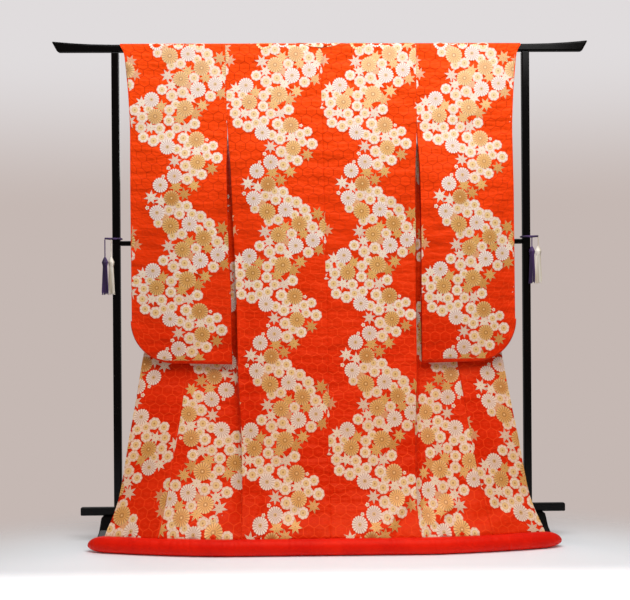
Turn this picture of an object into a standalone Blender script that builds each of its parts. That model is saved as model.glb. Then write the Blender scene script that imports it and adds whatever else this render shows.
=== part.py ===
"""Uchikake wedding kimono hung, back towards -Y, on a black lacquer kimono stand.

Metres, +Z up, X to the right as the garment's back is seen, standing on z = 0.
Each cloth panel is a surface worked out from the sizes below, given its wall by
Solidify. Heights run from the shoulder fold on the stand's top bar to the hem.
"""
import bmesh
import bpy
import math

# Stand
BAR_TOP = 1.628
BAR_HEIGHT = 0.025
BAR_DEPTH = 0.025
BAR_HALF_LENGTH = 0.882
BAR_TIP_RISE = 0.011
BAR_TIP_SLANT = 0.020
BAR_TIP_LENGTH = 0.20
BAR_TIP_STEPS = [0.0, 0.15, 0.35, 0.65, 1.0]
BAR_ROUNDING = 0.006
POST_X = 0.676
POST_WIDTH = 0.025
MIDDLE_RAIL_Z = 0.975
MIDDLE_RAIL_HEIGHT = 0.016
MIDDLE_RAIL_DEPTH = 0.020
BOTTOM_RAIL_HALF_LENGTH = 0.798
BOTTOM_RAIL_HEIGHT = 0.026
FOOT_HEIGHT = 0.082
FOOT_HALF_LENGTH = 0.135
FOOT_HALF_WIDTH = 0.050
FOOT_ROUNDING = 0.004
FOOT_SIDE = [
    # distance from the post along the foot, height
    (0.040, FOOT_HEIGHT),
    (0.052, 0.074),
    (0.085, 0.048),
    (0.128, 0.036),
    (FOOT_HALF_LENGTH, 0.029),
    (FOOT_HALF_LENGTH, 0.0),
]

# Cloth and clearances
WALL = 0.0024
GAP = 0.0003
COVER = WALL / 2 + GAP
FOLD_TOP = BAR_TOP + COVER
FOLD_RADIUS = 0.007
FOLD_HALF_DEPTH = BAR_DEPTH / 2 + COVER
FOLD_FLAT = FOLD_HALF_DEPTH - FOLD_RADIUS
FOLD_ARC = FOLD_RADIUS * math.pi / 2
FOLD_LOW = FOLD_TOP - FOLD_RADIUS

# Garment
NECK_HALF_WIDTH = 0.090
NECK_DROP = FOLD_FLAT + FOLD_ARC + 0.0085
NECK_RUNS = [FOLD_FLAT + FOLD_ARC * i / 3 for i in range(4)] + [NECK_DROP - 0.0042, NECK_DROP]
COLLAR_WIDTH = 0.055
COLLAR_END = 0.80
COLLAR_BEHIND = 0.038
COLLAR_SLANT = 0.055
COLLAR_LIFT = 0.0008
COLLAR_DROP = 0.012
COLLAR_SPLAY = 0.2
COLLAR_COLUMNS = 10
COLLAR_LEAST_STEP = 0.0008
SEAM = 0.0008
OVERLAP_TOP = 1.35
OVERLAP_SEAM_X = 0.5186
HEM_TURN_X = 0.300
HEM_EDGE_X = 0.690
SIDE_SEAM_X = 0.2760
SIDE_SEAM_LAP = 0.003
SIDE_SEAM_DEPTH = 0.0042
FRONT_TURNS = 1.56
BEND_WEIGHT = 5.0
SLEEVE_JOIN = 1.358
SLEEVE_ELBOW = 1.12
SLEEVE_BOTTOM = 0.590
SLEEVE_CORNER = 0.13
SLEEVE_PINCH = 0.0030
SLEEVE_HEM_HALF = 0.0122
LEAN = 0.013
SIDE_TURN = 0.012

# Padded hem roll
ROLL_RADIUS = 0.0262
ROLL_HEIGHT = 0.0252
ROLL_Y = -0.272
ROLL_TIP_X = 0.748
ROLL_TAPER = 0.068
ROLL_SAG = 0.25
ROLL_BEND_START = 0.30
ROLL_BEND = 0.094
HEM = 0.0527

# Half width of the back, and how far the cloth's two sides lie from the bar's centre plane
BACK_ROWS = [
    # height, half width, back y
    (FOLD_LOW, 0.3135, -FOLD_HALF_DEPTH),
    (1.597, 0.3133, -0.0155),
    (1.550, 0.3125, -0.0185),
    (1.450, 0.3115, -0.0260),
    (SLEEVE_JOIN, 0.3100, -0.0330),
    (1.200, 0.3020, -0.0410),
    (1.050, 0.2990, -0.0460),
    (0.800, 0.2930, -0.0595),
    (0.571, 0.2895, -0.0900),
    (0.341, 0.2770, -0.1400),
    (0.154, 0.2740, -0.2050),
    (HEM, 0.2760, ROLL_Y),
]

# Plan of one front, at its side seam, the turn beside it, the overlap seam and its edge
FRONT_ROWS = [
    # height, turn x, turn y, joint x, joint y, edge x, edge y
    (FOLD_LOW, 0.260, 0.0140, 0.090, 0.0140, 0.090, 0.0140),
    (1.595, 0.262, 0.0150, 0.104, 0.0170, 0.104, 0.0170),
    (1.500, 0.280, 0.0250, 0.172, 0.0480, 0.172, 0.0480),
    (1.380, 0.300, 0.0120, 0.280, 0.0680, 0.274, 0.0740),
    (1.250, 0.306, -0.0020, 0.344, 0.0620, 0.348, 0.0780),
    (1.120, 0.304, -0.0100, 0.374, 0.0260, 0.404, 0.0360),
    (1.010, 0.302, -0.0170, 0.405, -0.0190, 0.460, -0.0200),
    (0.940, 0.300, -0.0190, 0.418, -0.0215, 0.495, -0.0220),
    (0.800, 0.297, -0.0230, 0.430, -0.0245, 0.542, -0.0240),
    (0.600, 0.294, -0.0300, 0.438, -0.0320, 0.588, -0.0310),
    (0.480, 0.292, -0.0560, 0.453, -0.0610, 0.606, -0.0540),
    (0.341, 0.290, -0.0980, 0.472, -0.1030, 0.628, -0.0860),
    (0.154, 0.292, -0.1780, 0.500, -0.1750, 0.656, -0.1350),
]

SLEEVE_ROWS = [
    # height, distance from the back's side, outer x, near y, far y
    (FOLD_LOW, 0.0006, 0.6590, -0.0140, 0.0140),
    (1.597, 0.0006, 0.6460, -0.0155, 0.0140),
    (1.550, 0.0006, 0.6400, -0.0185, 0.0095),
    (1.450, 0.0006, 0.6310, -0.0260, -0.0050),
    (SLEEVE_JOIN, 0.0010, 0.6265, -0.0330, -0.0170),
    (1.200, 0.0135, 0.6255, -0.0560, -0.0260),
    (1.120, 0.0150, 0.6253, -0.0645, -0.0282),
    (0.970, 0.0165, 0.6250, -0.0653, -0.0320),
    (0.730, 0.0180, 0.6245, -0.0672, -0.0382),
    (SLEEVE_BOTTOM, 0.0190, 0.6245, -0.0690, -0.0445),
]

# Tassels tied at the ends of the middle rail
CORD_RADIUS = 0.0030
CORD_Z = 0.990
TASSEL_DROPS = {-1: 0.078, 1: 0.050}
TASSEL_LENGTH = 0.112
TASSEL_HEAD_RADIUS = 0.0105
TASSEL_ROOT_RADIUS = 0.0062
TASSEL_SPREAD = 0.0105
NEAR_TASSEL = (0.7085, -0.0385)
FAR_TASSEL = (0.6900, -0.0265)
STRAND_RADIUS = 0.0011
STRAND_RINGS = [
    # strands, share of the tassel's radius
    (1, 0.0),
    (6, 0.36),
    (9, 0.70),
    (12, 1.0),
]

# The stand's plane sits behind the middle of the whole part's depth
DEPTH_SHIFT = (FOOT_HALF_LENGTH - (ROLL_Y - ROLL_RADIUS)) / 2 - FOOT_HALF_LENGTH


def clear_scene():
    """Remove every object that is already in the scene."""
    for item in list(bpy.data.objects):
        bpy.data.objects.remove(item, do_unlink=True)


def make_material(name, colour, roughness, metallic=0.0):
    """Return a Principled material."""
    material = bpy.data.materials.new(name)
    material.use_nodes = True
    shader = material.node_tree.nodes["Principled BSDF"]
    shader.inputs["Base Color"].default_value = (*colour, 1.0)
    shader.inputs["Roughness"].default_value = roughness
    shader.inputs["Metallic"].default_value = metallic
    return material


def ease(value, start, end):
    """Return 0 before start and 1 after end, with a smooth step between."""
    share = min(1.0, max(0.0, (value - start) / (end - start)))
    return share * share * (3 - 2 * share)


def slopes(heights, values):
    """Return the slope at each row, limited so that the curve never overshoots."""
    steps = [
        (values[i + 1] - values[i]) / (heights[i + 1] - heights[i])
        for i in range(len(values) - 1)
    ]
    inner = [
        2 * a * b / (a + b) if a * b > 0 else 0.0
        for a, b in zip(steps, steps[1:])
    ]
    return [steps[0]] + inner + [steps[-1]]


def read_rows(rows, height):
    """Return a table's columns at a height, on smooth curves through its rows."""
    heights = [row[0] for row in rows]
    height = min(heights[0], max(heights[-1], height))
    index = next(i for i in range(len(rows) - 1) if height >= heights[i + 1])
    width = heights[index + 1] - heights[index]
    t = (height - heights[index]) / width
    result = []
    for column in range(1, len(rows[0])):
        values = [row[column] for row in rows]
        slope = slopes(heights, values)
        result.append(
            (2 * t**3 - 3 * t**2 + 1) * values[index]
            + (t**3 - 2 * t**2 + t) * width * slope[index]
            + (3 * t**2 - 2 * t**3) * values[index + 1]
            + (t**3 - t**2) * width * slope[index + 1]
        )
    return result


def lean(height):
    """The lower robe hangs a little towards +X."""
    return LEAN * ease(FOLD_TOP - height, 0.0, 1.1)


def roll_y(x):
    """Depth of the hem roll's centre line across its width."""
    past = max(0.0, abs(x) - ROLL_BEND_START) / (ROLL_TIP_X - ROLL_BEND_START)
    return ROLL_Y + ROLL_BEND * past**1.6


def over_bar(distance, lift=0.0):
    """Depth and height on the fold over the bar; positive distances are near, -Y."""
    side = -1 if distance > 0 else 1
    run = abs(distance)
    if run <= FOLD_FLAT:
        return side * run, FOLD_TOP + lift
    angle = min(math.pi / 2, (run - FOLD_FLAT) / FOLD_RADIUS)
    fall = max(0.0, run - FOLD_FLAT - FOLD_ARC)
    depth = FOLD_FLAT + (FOLD_RADIUS + lift) * math.sin(angle)
    return side * depth, FOLD_LOW + (FOLD_RADIUS + lift) * math.cos(angle) - fall


def back_point(side, across, height):
    """A point of the back; across runs from the centre seam, 0, to the side, 1."""
    half, y = read_rows(BACK_ROWS, height)
    turn = ease(height, HEM, 0.3) * (1 - ease(height, 1.0, 1.3))
    y += SIDE_TURN * turn * across**4
    x = GAP / 2 + (half - GAP / 2) * across
    return side * x + lean(height), y, height


def front_rows():
    """The front's table with its last row laid on the hem roll."""
    turn, joint, edge = HEM_TURN_X, OVERLAP_SEAM_X, HEM_EDGE_X
    return FRONT_ROWS + [(HEM, turn, roll_y(turn), joint, roll_y(joint), edge, roll_y(edge))]


def front_seam(height):
    """Plan point of the front's side: on the sleeve's seam, and lower down behind the back."""
    half = read_rows(BACK_ROWS, height)[0]
    behind = back_point(1, 1.0, height)[1] + SIDE_SEAM_DEPTH
    far = read_rows(SLEEVE_ROWS, height)[3]
    share = ease(SLEEVE_JOIN - height, 0.0, 0.12)
    lap = SIDE_SEAM_LAP * ease(FRONT_TURNS - height, 0.0, 0.25)
    return half - lap, far + (behind - far) * share


def front_plan(height):
    """The plan points of a front section: side seam, turn, overlap seam and edge."""
    values = read_rows(front_rows(), height)
    return [front_seam(height)] + [tuple(values[i:i + 2]) for i in range(0, 6, 2)]


def bend(start, middle, end, t):
    """A point on the bend from start to end that passes close to middle."""
    a, b, c = (1 - t) ** 2, 2 * BEND_WEIGHT * t * (1 - t), t * t
    return tuple((a * p + b * q + c * r) / (a + b + c) for p, q, r in zip(start, middle, end))


def front_point(side, across, height):
    """A point of a front; across runs from the side seam, 0, to the overlap seam, 1."""
    seam, turn, joint, edge = front_plan(height)
    x, y = bend(seam, turn, joint, across)
    return side * x + lean(height) * (1 - across) * ease(height, HEM - 0.001, HEM), y, height


def edge_direction(height):
    """Unit direction, in plan, in which the front runs past its edge."""
    turn, joint, edge = front_plan(height)[1:]
    dx, dy = edge[0] - turn[0], edge[1] - turn[1]
    if math.hypot(edge[0] - joint[0], edge[1] - joint[1]) > 0.02:
        dx, dy = edge[0] - joint[0], edge[1] - joint[1]
    length = math.hypot(dx, dy)
    return dx / length, dy / length


def overlap_point(side, across, height):
    """A point of the overlap panel, from the front's seam, 0, to its free edge, 1."""
    joint, edge = front_plan(height)[2:]
    length = math.hypot(edge[0] - joint[0], edge[1] - joint[1])
    share = (SEAM + (length - SEAM) * across) / length
    x = joint[0] + (edge[0] - joint[0]) * share
    y = joint[1] + (edge[1] - joint[1]) * share
    return side * x, y, height


def neck_inner(distance):
    """Where the body panel stops beside the neck on the near side of the fold."""
    share = min(1.0, max(0.0, distance) / NECK_DROP)
    return NECK_HALF_WIDTH * math.sqrt(1 - share)


def body_row(side, row):
    """A function of across, from the side seam to the inner edge, for one row."""
    kind, value = row
    if kind == "front":
        return lambda across: front_point(side, across, value)
    if kind == "back":
        return lambda across: back_point(side, 1 - across, value)
    y, z = over_bar(value)
    outer = BACK_ROWS[0][1]
    inner = max(neck_inner(value), GAP / 2)
    return lambda across: (side * (outer + (inner - outer) * across), y, z)


def spread(start, end, count):
    """Evenly spaced values from start to end, both included."""
    return [start + (end - start) * i / (count - 1) for i in range(count)]


def front_heights():
    """Heights of a front's rows, which its overlap panel shares."""
    return spread(HEM, 1.595, 24)


def fold_distances():
    """Distances of the rows that go over the bar, far side first."""
    arc = [FOLD_FLAT + FOLD_ARC * i / 3 for i in range(4)]
    return [-d for d in reversed(arc)] + [0.0] + arc


def sheet_object(name, rows, columns, place, material, collection):
    """Build a grid, put each of its points with place(row, column) and give it a wall."""
    mesh = bpy.data.meshes.new(name)
    grid = bmesh.new()
    bmesh.ops.create_grid(grid, x_segments=columns - 1, y_segments=rows - 1, size=0.5)
    for vertex in grid.verts:
        column = round((vertex.co.x + 0.5) * (columns - 1))
        row = round((vertex.co.y + 0.5) * (rows - 1))
        x, y, z = place(row, column)
        vertex.co = (x, y + DEPTH_SHIFT, z)
    grid.to_mesh(mesh)
    grid.free()
    mesh.shade_smooth()
    sheet = bpy.data.objects.new(name, mesh)
    sheet.data.materials.append(material)
    collection.objects.link(sheet)
    wall = sheet.modifiers.new("wall", "SOLIDIFY")
    wall.thickness = WALL
    wall.offset = 0.0
    return sheet


def make_body(side, word, material, collection):
    """One body length in two nodes: over the bar and down the back, and down the front."""
    over = [("fold", d) for d in fold_distances() if d <= 0.0]
    over += [("fold", d) for d in NECK_RUNS]
    over += [("back", z) for z in [1.590] + spread(1.540, HEM, 21)]
    front = [("front", z) for z in front_heights() + [FOLD_LOW - SEAM]]
    across = [0.0, 0.06, 0.14, 0.25, 0.40, 0.56, 0.72, 0.87, 1.0]
    for start_name, rows in (("back_", over), ("front_", front)):
        places = [body_row(side, row) for row in rows]
        sheet_object(
            start_name + word, len(rows), len(across),
            lambda row, column: places[row](across[column]),
            material, collection,
        )


def make_overlap(side, name, material, collection):
    """The overlap panel sewn to the front, tapering to a point under the collar."""
    heights = [z for z in front_heights() if z < OVERLAP_TOP]
    across = spread(0.0, 1.0, 4)
    return sheet_object(
        name, len(heights), len(across),
        lambda row, column: overlap_point(side, across[column], heights[row]),
        material, collection,
    )


def collar_edge(side, column, height):
    """A point of the collar beside a front edge, its columns spreading out below the fold."""
    even = column / (COLLAR_COLUMNS - 1)
    close = 1.0 if even == 1.0 else column * COLLAR_LEAST_STEP / COLLAR_WIDTH
    share = close + (even - close) * ease(FOLD_LOW - height, 0.0, 0.2)
    edge = front_plan(height)[3]
    dx, dy = edge_direction(height)
    run = SEAM + COLLAR_WIDTH * share
    drop = COLLAR_SLANT * share * ease(height, 1.35, FOLD_LOW)
    return side * (edge[0] + dx * run), edge[1] + dy * run, height - drop


def collar_over(seam, free, column):
    """Distance over the bar of a collar column, with columns kept on the fold's two arcs."""
    arc = [FOLD_FLAT + FOLD_ARC * i / 3 for i in (3, 2, 1, 0)]
    knots = arc + [-d for d in reversed(arc)]
    if column == 0:
        return seam
    if column == COLLAR_COLUMNS - 1:
        return free
    return min(seam - COLLAR_LEAST_STEP * column, knots[column - 1])


def collar_top(side, seam, column):
    """A point of the collar over the bar, for a row whose seam lies at that distance."""
    behind = COLLAR_BEHIND * (1 - max(0.0, seam) / NECK_DROP)
    free = min(0.0, seam) * COLLAR_SPLAY - FOLD_FLAT - FOLD_ARC - COLLAR_DROP - behind
    start = seam - SEAM if seam > 0 else seam
    run = collar_over(start, free, column)
    narrowing = (COLLAR_WIDTH - SEAM) * (start - run) / (start - free)
    half = NECK_HALF_WIDTH - SEAM - narrowing
    y, z = over_bar(run, COLLAR_LIFT)
    return side * half * neck_inner(seam) / NECK_HALF_WIDTH, y, z


def make_collar(name, material, collection):
    """One strip: up one front edge, round the back of the neck, down the other."""
    heights = [z for z in front_heights() if z > COLLAR_END] + [FOLD_LOW]
    over = [d for d in fold_distances() if -FOLD_FLAT - FOLD_ARC < d <= 0.0] + NECK_RUNS
    rows = [("edge", -1, z) for z in heights]
    rows += [("top", -1, d) for d in over]
    rows += [("top", 1, d) for d in reversed(over[:-1])]
    rows += [("edge", 1, z) for z in reversed(heights)]

    def place(row, column):
        kind, side, value = rows[row]
        if kind == "top":
            return collar_top(side, value, column)
        return collar_edge(side, column, value)

    return sheet_object(name, len(rows), COLLAR_COLUMNS, place, material, collection)


def sleeve_floor(across, width):
    """Height of the sleeve's lower fold, rising round its outer corner."""
    reach = max(0.0, across * width - (width - SLEEVE_CORNER))
    return SLEEVE_BOTTOM + SLEEVE_CORNER - math.sqrt(max(0.0, SLEEVE_CORNER**2 - reach**2))


def sleeve_point(side, across, height, layer):
    """A point of the sleeve; layer is -1 on the near side and 1 on the far side."""
    beside, outer, near, far = read_rows(SLEEVE_ROWS, height)
    half_back, back_y = read_rows(BACK_ROWS, height)
    inner = half_back + beside
    near += (back_y - near) * ease(height, SLEEVE_JOIN - 0.05, SLEEVE_JOIN)
    floor = sleeve_floor(across, outer - inner)
    half = (far - near) / 2
    half += (SLEEVE_HEM_HALF - half) * (1 - ease(height - floor, 0.0, 0.12))
    pinch = across * (1 - ease(height, SLEEVE_JOIN - 0.03, SLEEVE_JOIN + 0.05))
    half += (SLEEVE_PINCH - half) * pinch
    lean_share = lean(height) * (1 - 0.7 * across)
    x = side * (inner + (outer - inner) * across) + lean_share
    return x, (near + far) / 2 + layer * half, height


def make_sleeve(side, word, material, collection):
    """A tube over the bar in three nodes, open at the body and the wrist, folded below."""
    width = SLEEVE_ROWS[-1][2] - sum(read_rows(BACK_ROWS, SLEEVE_BOTTOM)[:1]) - SLEEVE_ROWS[-1][1]
    start = 1 - SLEEVE_CORNER / width
    columns = spread(0.0, start, 5)
    columns += [start + (1 - start) * math.sin(math.radians(a)) for a in (24, 45, 63, 78, 90)]
    falls = [0.02, 0.05, 0.1, 0.17, 0.25, 0.36, 0.48, 0.6, 0.7, 0.8, 0.88, 0.94, 0.976]
    far = [("above", 1, SEAM)] + [("layer", 1, f) for f in falls] + [("level", 1, FOLD_LOW - SEAM)]
    near = [("fold", 0, d) for d in fold_distances()]
    near += [("level", -1, z) for z in [1.597, 1.56] + spread(1.50, SLEEVE_ELBOW, 8)]
    pouch = [("level", -1, SLEEVE_ELBOW - SEAM)]
    pouch += [("layer", -1, f) for f in (0.44, 0.36, 0.28, 0.2, 0.13, 0.08, 0.04, 0.016)]
    pouch += [("above", -1, 0.0)] + [("hem", 0, a) for a in (-60, -30, 0, 30, 60, 90)]

    def place(kind, layer, value, across):
        floor = sleeve_floor(across, width)
        slope = math.asin(max(0.0, across * width - width + SLEEVE_CORNER) / SLEEVE_CORNER)
        if kind == "fold":
            y, z = over_bar(value)
            return sleeve_point(side, across, FOLD_LOW, 0)[0], y, z
        if kind == "layer":
            return sleeve_point(side, across, floor + (FOLD_LOW - floor) * value, layer)
        if kind == "above":
            x, y, z = sleeve_point(side, across, floor, layer)
            return x - side * value * math.sin(slope), y, z + value * math.cos(slope)
        if kind == "level":
            return sleeve_point(side, across, value, layer)
        x, middle, z = sleeve_point(side, across, floor, 0)
        half = sleeve_point(side, across, floor, 1)[1] - middle
        angle = math.radians(value)
        out = half * math.cos(angle)
        x += side * out * math.sin(slope)
        return x, middle + half * math.sin(angle), z - out * math.cos(slope)

    for start_name, rows in (("sleeve_far_", far), ("sleeve_near_", near), ("sleeve_pouch_", pouch)):
        sheet_object(
            start_name + word, len(rows), len(columns),
            lambda row, column: place(*rows[row], columns[column]),
            material, collection,
        )


def roll_radius(x):
    """The roll's radius, closing to a rounded point at each tip."""
    left = (ROLL_TIP_X - abs(x)) / ROLL_TAPER
    if left >= 1:
        return ROLL_RADIUS
    return ROLL_RADIUS * math.sqrt(max(0.02, 1 - (1 - left) ** 2))


def make_roll(name, start, end, material, collection):
    """A length of the padded hem roll from start to end in x, flat on the floor."""
    places = spread(start, end, 7)
    if abs(end) >= ROLL_TIP_X:
        places = [start + (end - start) * math.sin(math.pi / 2 * i / 11) for i in range(12)]
    curve = bpy.data.curves.new(name, "CURVE")
    curve.dimensions = "3D"
    curve.bevel_depth = ROLL_RADIUS
    curve.bevel_resolution = 4
    curve.use_fill_caps = True
    spline = curve.splines.new("POLY")
    spline.points.add(len(places) - 1)
    for point, x in zip(spline.points, places):
        point.co = (x, 0.0, 0.0, 1.0)
        point.radius = roll_radius(x) / ROLL_RADIUS
    roll = mesh_from_curve(name, curve, material, collection)
    for vertex in roll.data.vertices:
        x = vertex.co.x
        centre = ROLL_HEIGHT - ROLL_SAG * (ROLL_RADIUS - roll_radius(x))
        vertex.co.y += roll_y(x) + DEPTH_SHIFT
        vertex.co.z = max(0.0, vertex.co.z + centre)
    return roll


def mesh_from_curve(name, curve, material, collection):
    """Turn a curve into a closed mesh object of the same name."""
    guide = bpy.data.objects.new(name + "_guide", curve)
    bpy.context.scene.collection.objects.link(guide)
    depsgraph = bpy.context.evaluated_depsgraph_get()
    mesh = bpy.data.meshes.new_from_object(guide.evaluated_get(depsgraph))
    bpy.data.objects.remove(guide, do_unlink=True)
    work = bmesh.new()
    work.from_mesh(mesh)
    bmesh.ops.remove_doubles(work, verts=work.verts, dist=0.00001)
    bmesh.ops.recalc_face_normals(work, faces=work.faces)
    work.to_mesh(mesh)
    work.free()
    mesh.materials.clear()
    mesh.materials.append(material)
    piece = bpy.data.objects.new(name, mesh)
    collection.objects.link(piece)
    return piece


def make_box(name, size, centre, rounding, material, collection):
    """A box of the stand with rounded edges."""
    mesh = bpy.data.meshes.new(name)
    shape = bmesh.new()
    bmesh.ops.create_cube(shape, size=1.0)
    bmesh.ops.scale(shape, vec=size, verts=shape.verts)
    shape.to_mesh(mesh)
    shape.free()
    piece = bpy.data.objects.new(name, mesh)
    piece.data.materials.append(material)
    piece.location = (centre[0], centre[1] + DEPTH_SHIFT, centre[2])
    collection.objects.link(piece)
    edge = piece.modifiers.new("edges", "BEVEL")
    edge.width = rounding
    edge.segments = 2
    return piece


def make_top_bar(material, collection):
    """The bar under the shoulders, its two tips swept up on top and level below."""
    mesh = bpy.data.meshes.new("top_bar")
    shape = bmesh.new()
    bmesh.ops.create_cube(shape, size=1.0)
    long_edges = [e for e in shape.edges if abs(e.verts[0].co.x - e.verts[1].co.x) > 0.5]
    cuts = 2 * len(BAR_TIP_STEPS) - 2
    bmesh.ops.subdivide_edges(shape, edges=long_edges, cuts=cuts, use_grid_fill=True)
    for vertex in shape.verts:
        index = round((0.5 - abs(vertex.co.x)) * (cuts + 1))
        past = 1 - BAR_TIP_STEPS[index]
        level = vertex.co.z
        slant = past**6 * BAR_TIP_SLANT * (level - 0.4)
        reach = BAR_HALF_LENGTH - BAR_TIP_LENGTH * (1 - past) + slant
        vertex.co.x = math.copysign(reach, vertex.co.x)
        vertex.co.y *= BAR_DEPTH
        vertex.co.z = level * BAR_HEIGHT + BAR_TIP_RISE * past**2 * (level + 0.5)
    shape.to_mesh(mesh)
    shape.free()
    bar = bpy.data.objects.new("top_bar", mesh)
    bar.data.materials.append(material)
    bar.location = (0.0, DEPTH_SHIFT, BAR_TOP - BAR_HEIGHT / 2)
    collection.objects.link(bar)
    edge = bar.modifiers.new("edges", "BEVEL")
    edge.width = BAR_ROUNDING
    edge.segments = 3
    edge.limit_method = "ANGLE"
    edge.angle_limit = math.radians(50)
    return bar


def make_foot(side, name, material, collection):
    """A foot that steps down in front of the post and behind it, flat underneath."""
    outline = [(-y, z) for y, z in reversed(FOOT_SIDE)] + FOOT_SIDE
    curve = bpy.data.curves.new(name, "CURVE")
    curve.dimensions = "2D"
    curve.fill_mode = "BOTH"
    curve.extrude = FOOT_HALF_WIDTH - FOOT_ROUNDING
    curve.bevel_depth = FOOT_ROUNDING
    curve.bevel_resolution = 1
    curve.offset = -FOOT_ROUNDING
    spline = curve.splines.new("POLY")
    spline.points.add(len(outline) - 1)
    spline.use_cyclic_u = True
    for point, (y, z) in zip(spline.points, outline):
        point.co = (y, z, 0.0, 1.0)
    foot = mesh_from_curve(name, curve, material, collection)
    foot.rotation_euler = (math.pi / 2, 0.0, math.pi / 2)
    foot.location = (side * POST_X, DEPTH_SHIFT, 0.0)
    return foot


def make_tie(side, name, material, collection):
    """The cord tied loosely round the post, whose two nearest corners carry the tassels."""
    beside = POST_WIDTH / 2 + GAP + CORD_RADIUS
    corners = [
        (POST_X - beside, -beside), FAR_TASSEL, NEAR_TASSEL,
        (POST_X + beside, beside), (POST_X - beside, beside),
    ]
    places = []
    for index, corner in enumerate(corners):
        for other in (corners[index - 1], corners[(index + 1) % len(corners)]):
            length = math.hypot(other[0] - corner[0], other[1] - corner[1])
            share = 1.2 * CORD_RADIUS / length
            places.append(tuple(c + (o - c) * share for c, o in zip(corner, other)))
    curve = bpy.data.curves.new(name, "CURVE")
    curve.dimensions = "3D"
    curve.bevel_depth = CORD_RADIUS
    curve.bevel_resolution = 2
    spline = curve.splines.new("POLY")
    spline.points.add(len(places) - 1)
    spline.use_cyclic_u = True
    for point, (x, y) in zip(spline.points, places):
        point.co = (side * x, y + DEPTH_SHIFT, CORD_Z, 1.0)
    return mesh_from_curve(name, curve, material, collection)


def make_tassel(name, x, y, head_z, material, collection):
    """A cord end, a round head and the strands fused into it."""
    top = CORD_Z - CORD_RADIUS - GAP
    mesh = bpy.data.meshes.new(name)
    profile = bmesh.new()
    outline = [
        (0.0, top), (0.0018, top), (0.0018, head_z + 0.018), (0.0045, head_z + 0.014),
        (TASSEL_HEAD_RADIUS * 0.8, head_z + 0.006), (TASSEL_HEAD_RADIUS, head_z),
        (TASSEL_HEAD_RADIUS * 0.8, head_z - 0.008), (0.0078, head_z - 0.011), (0.0, head_z - 0.011),
    ]
    points = [profile.verts.new((r, 0.0, z)) for r, z in outline]
    for first, second in zip(points, points[1:]):
        profile.edges.new((first, second))
    profile.to_mesh(mesh)
    profile.free()
    tassel = bpy.data.objects.new(name, mesh)
    tassel.data.materials.append(material)
    tassel.location = (x, y + DEPTH_SHIFT, 0.0)
    collection.objects.link(tassel)
    turned = tassel.modifiers.new("turned", "SCREW")
    turned.steps = 10
    turned.render_steps = 10
    turned.use_merge_vertices = True
    turned.merge_threshold = 0.0001
    strands = make_strands(name + "_strands", x, y, head_z)
    fused = tassel.modifiers.new("fused", "BOOLEAN")
    fused.operation = "UNION"
    fused.object = strands
    return tassel


def make_strands(name, x, y, head_z):
    """The strands of a tassel, apart from each other, their roots inside its head."""
    mesh = bpy.data.meshes.new(name)
    shape = bmesh.new()
    root_z = head_z - 0.008
    tip_z = head_z + 0.010 - TASSEL_LENGTH
    for count, share in STRAND_RINGS:
        for index in range(count):
            angle = 2 * math.pi * (index + 0.5 * share) / count
            tip = tip_z + 0.004 * math.sin(5 * angle + 3 * share)
            made = bmesh.ops.create_cone(
                shape, cap_ends=True, segments=3, radius1=STRAND_RADIUS, radius2=STRAND_RADIUS,
                depth=root_z - tip,
            )
            for vertex in made["verts"]:
                low = vertex.co.z < 0
                reach = (TASSEL_SPREAD if low else TASSEL_ROOT_RADIUS) * share
                vertex.co.x += reach * math.cos(angle)
                vertex.co.y += reach * math.sin(angle)
                vertex.co.z += (root_z + tip) / 2
    shape.to_mesh(mesh)
    shape.free()
    strands = bpy.data.objects.new(name, mesh)
    strands.location = (x, y + DEPTH_SHIFT, 0.0)
    strands.hide_render = True
    strands.display_type = "WIRE"
    bpy.data.collections["cutters"].objects.link(strands)
    return strands


def make_stand(lacquer, collection):
    """The black lacquer stand that carries the robe."""
    make_top_bar(lacquer, collection)
    rail_top = FOOT_HEIGHT + GAP + BOTTOM_RAIL_HEIGHT
    post_bottom = rail_top + GAP
    post_top = BAR_TOP - BAR_HEIGHT - GAP
    post_height = post_top - post_bottom
    for side, word in ((-1, "left"), (1, "right")):
        make_box(
            "post_" + word, (POST_WIDTH, POST_WIDTH, post_height),
            (side * POST_X, 0.0, (post_top + post_bottom) / 2), 0.003, lacquer, collection,
        )
        make_foot(side, "foot_" + word, lacquer, collection)
    make_box(
        "middle_rail", (2 * (POST_X - POST_WIDTH / 2 - GAP), MIDDLE_RAIL_DEPTH, MIDDLE_RAIL_HEIGHT),
        (0.0, 0.0, MIDDLE_RAIL_Z), 0.003, lacquer, collection,
    )
    make_box(
        "bottom_rail", (2 * BOTTOM_RAIL_HALF_LENGTH, POST_WIDTH, BOTTOM_RAIL_HEIGHT),
        (0.0, 0.0, rail_top - BOTTOM_RAIL_HEIGHT / 2), 0.003, lacquer, collection,
    )


def make_tassels(purple, cream, collection):
    """A pair of tassels hung on a cord at each post."""
    for side, word, front, back in ((-1, "left", purple, cream), (1, "right", cream, purple)):
        make_tie(side, "tie_" + word, purple, collection)
        for place, material, where in ((NEAR_TASSEL, front, "near"), (FAR_TASSEL, back, "far")):
            name = "tassel_" + where + "_" + word
            head_z = CORD_Z - TASSEL_DROPS[side]
            make_tassel(name, side * place[0], place[1], head_z, material, collection)


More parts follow.
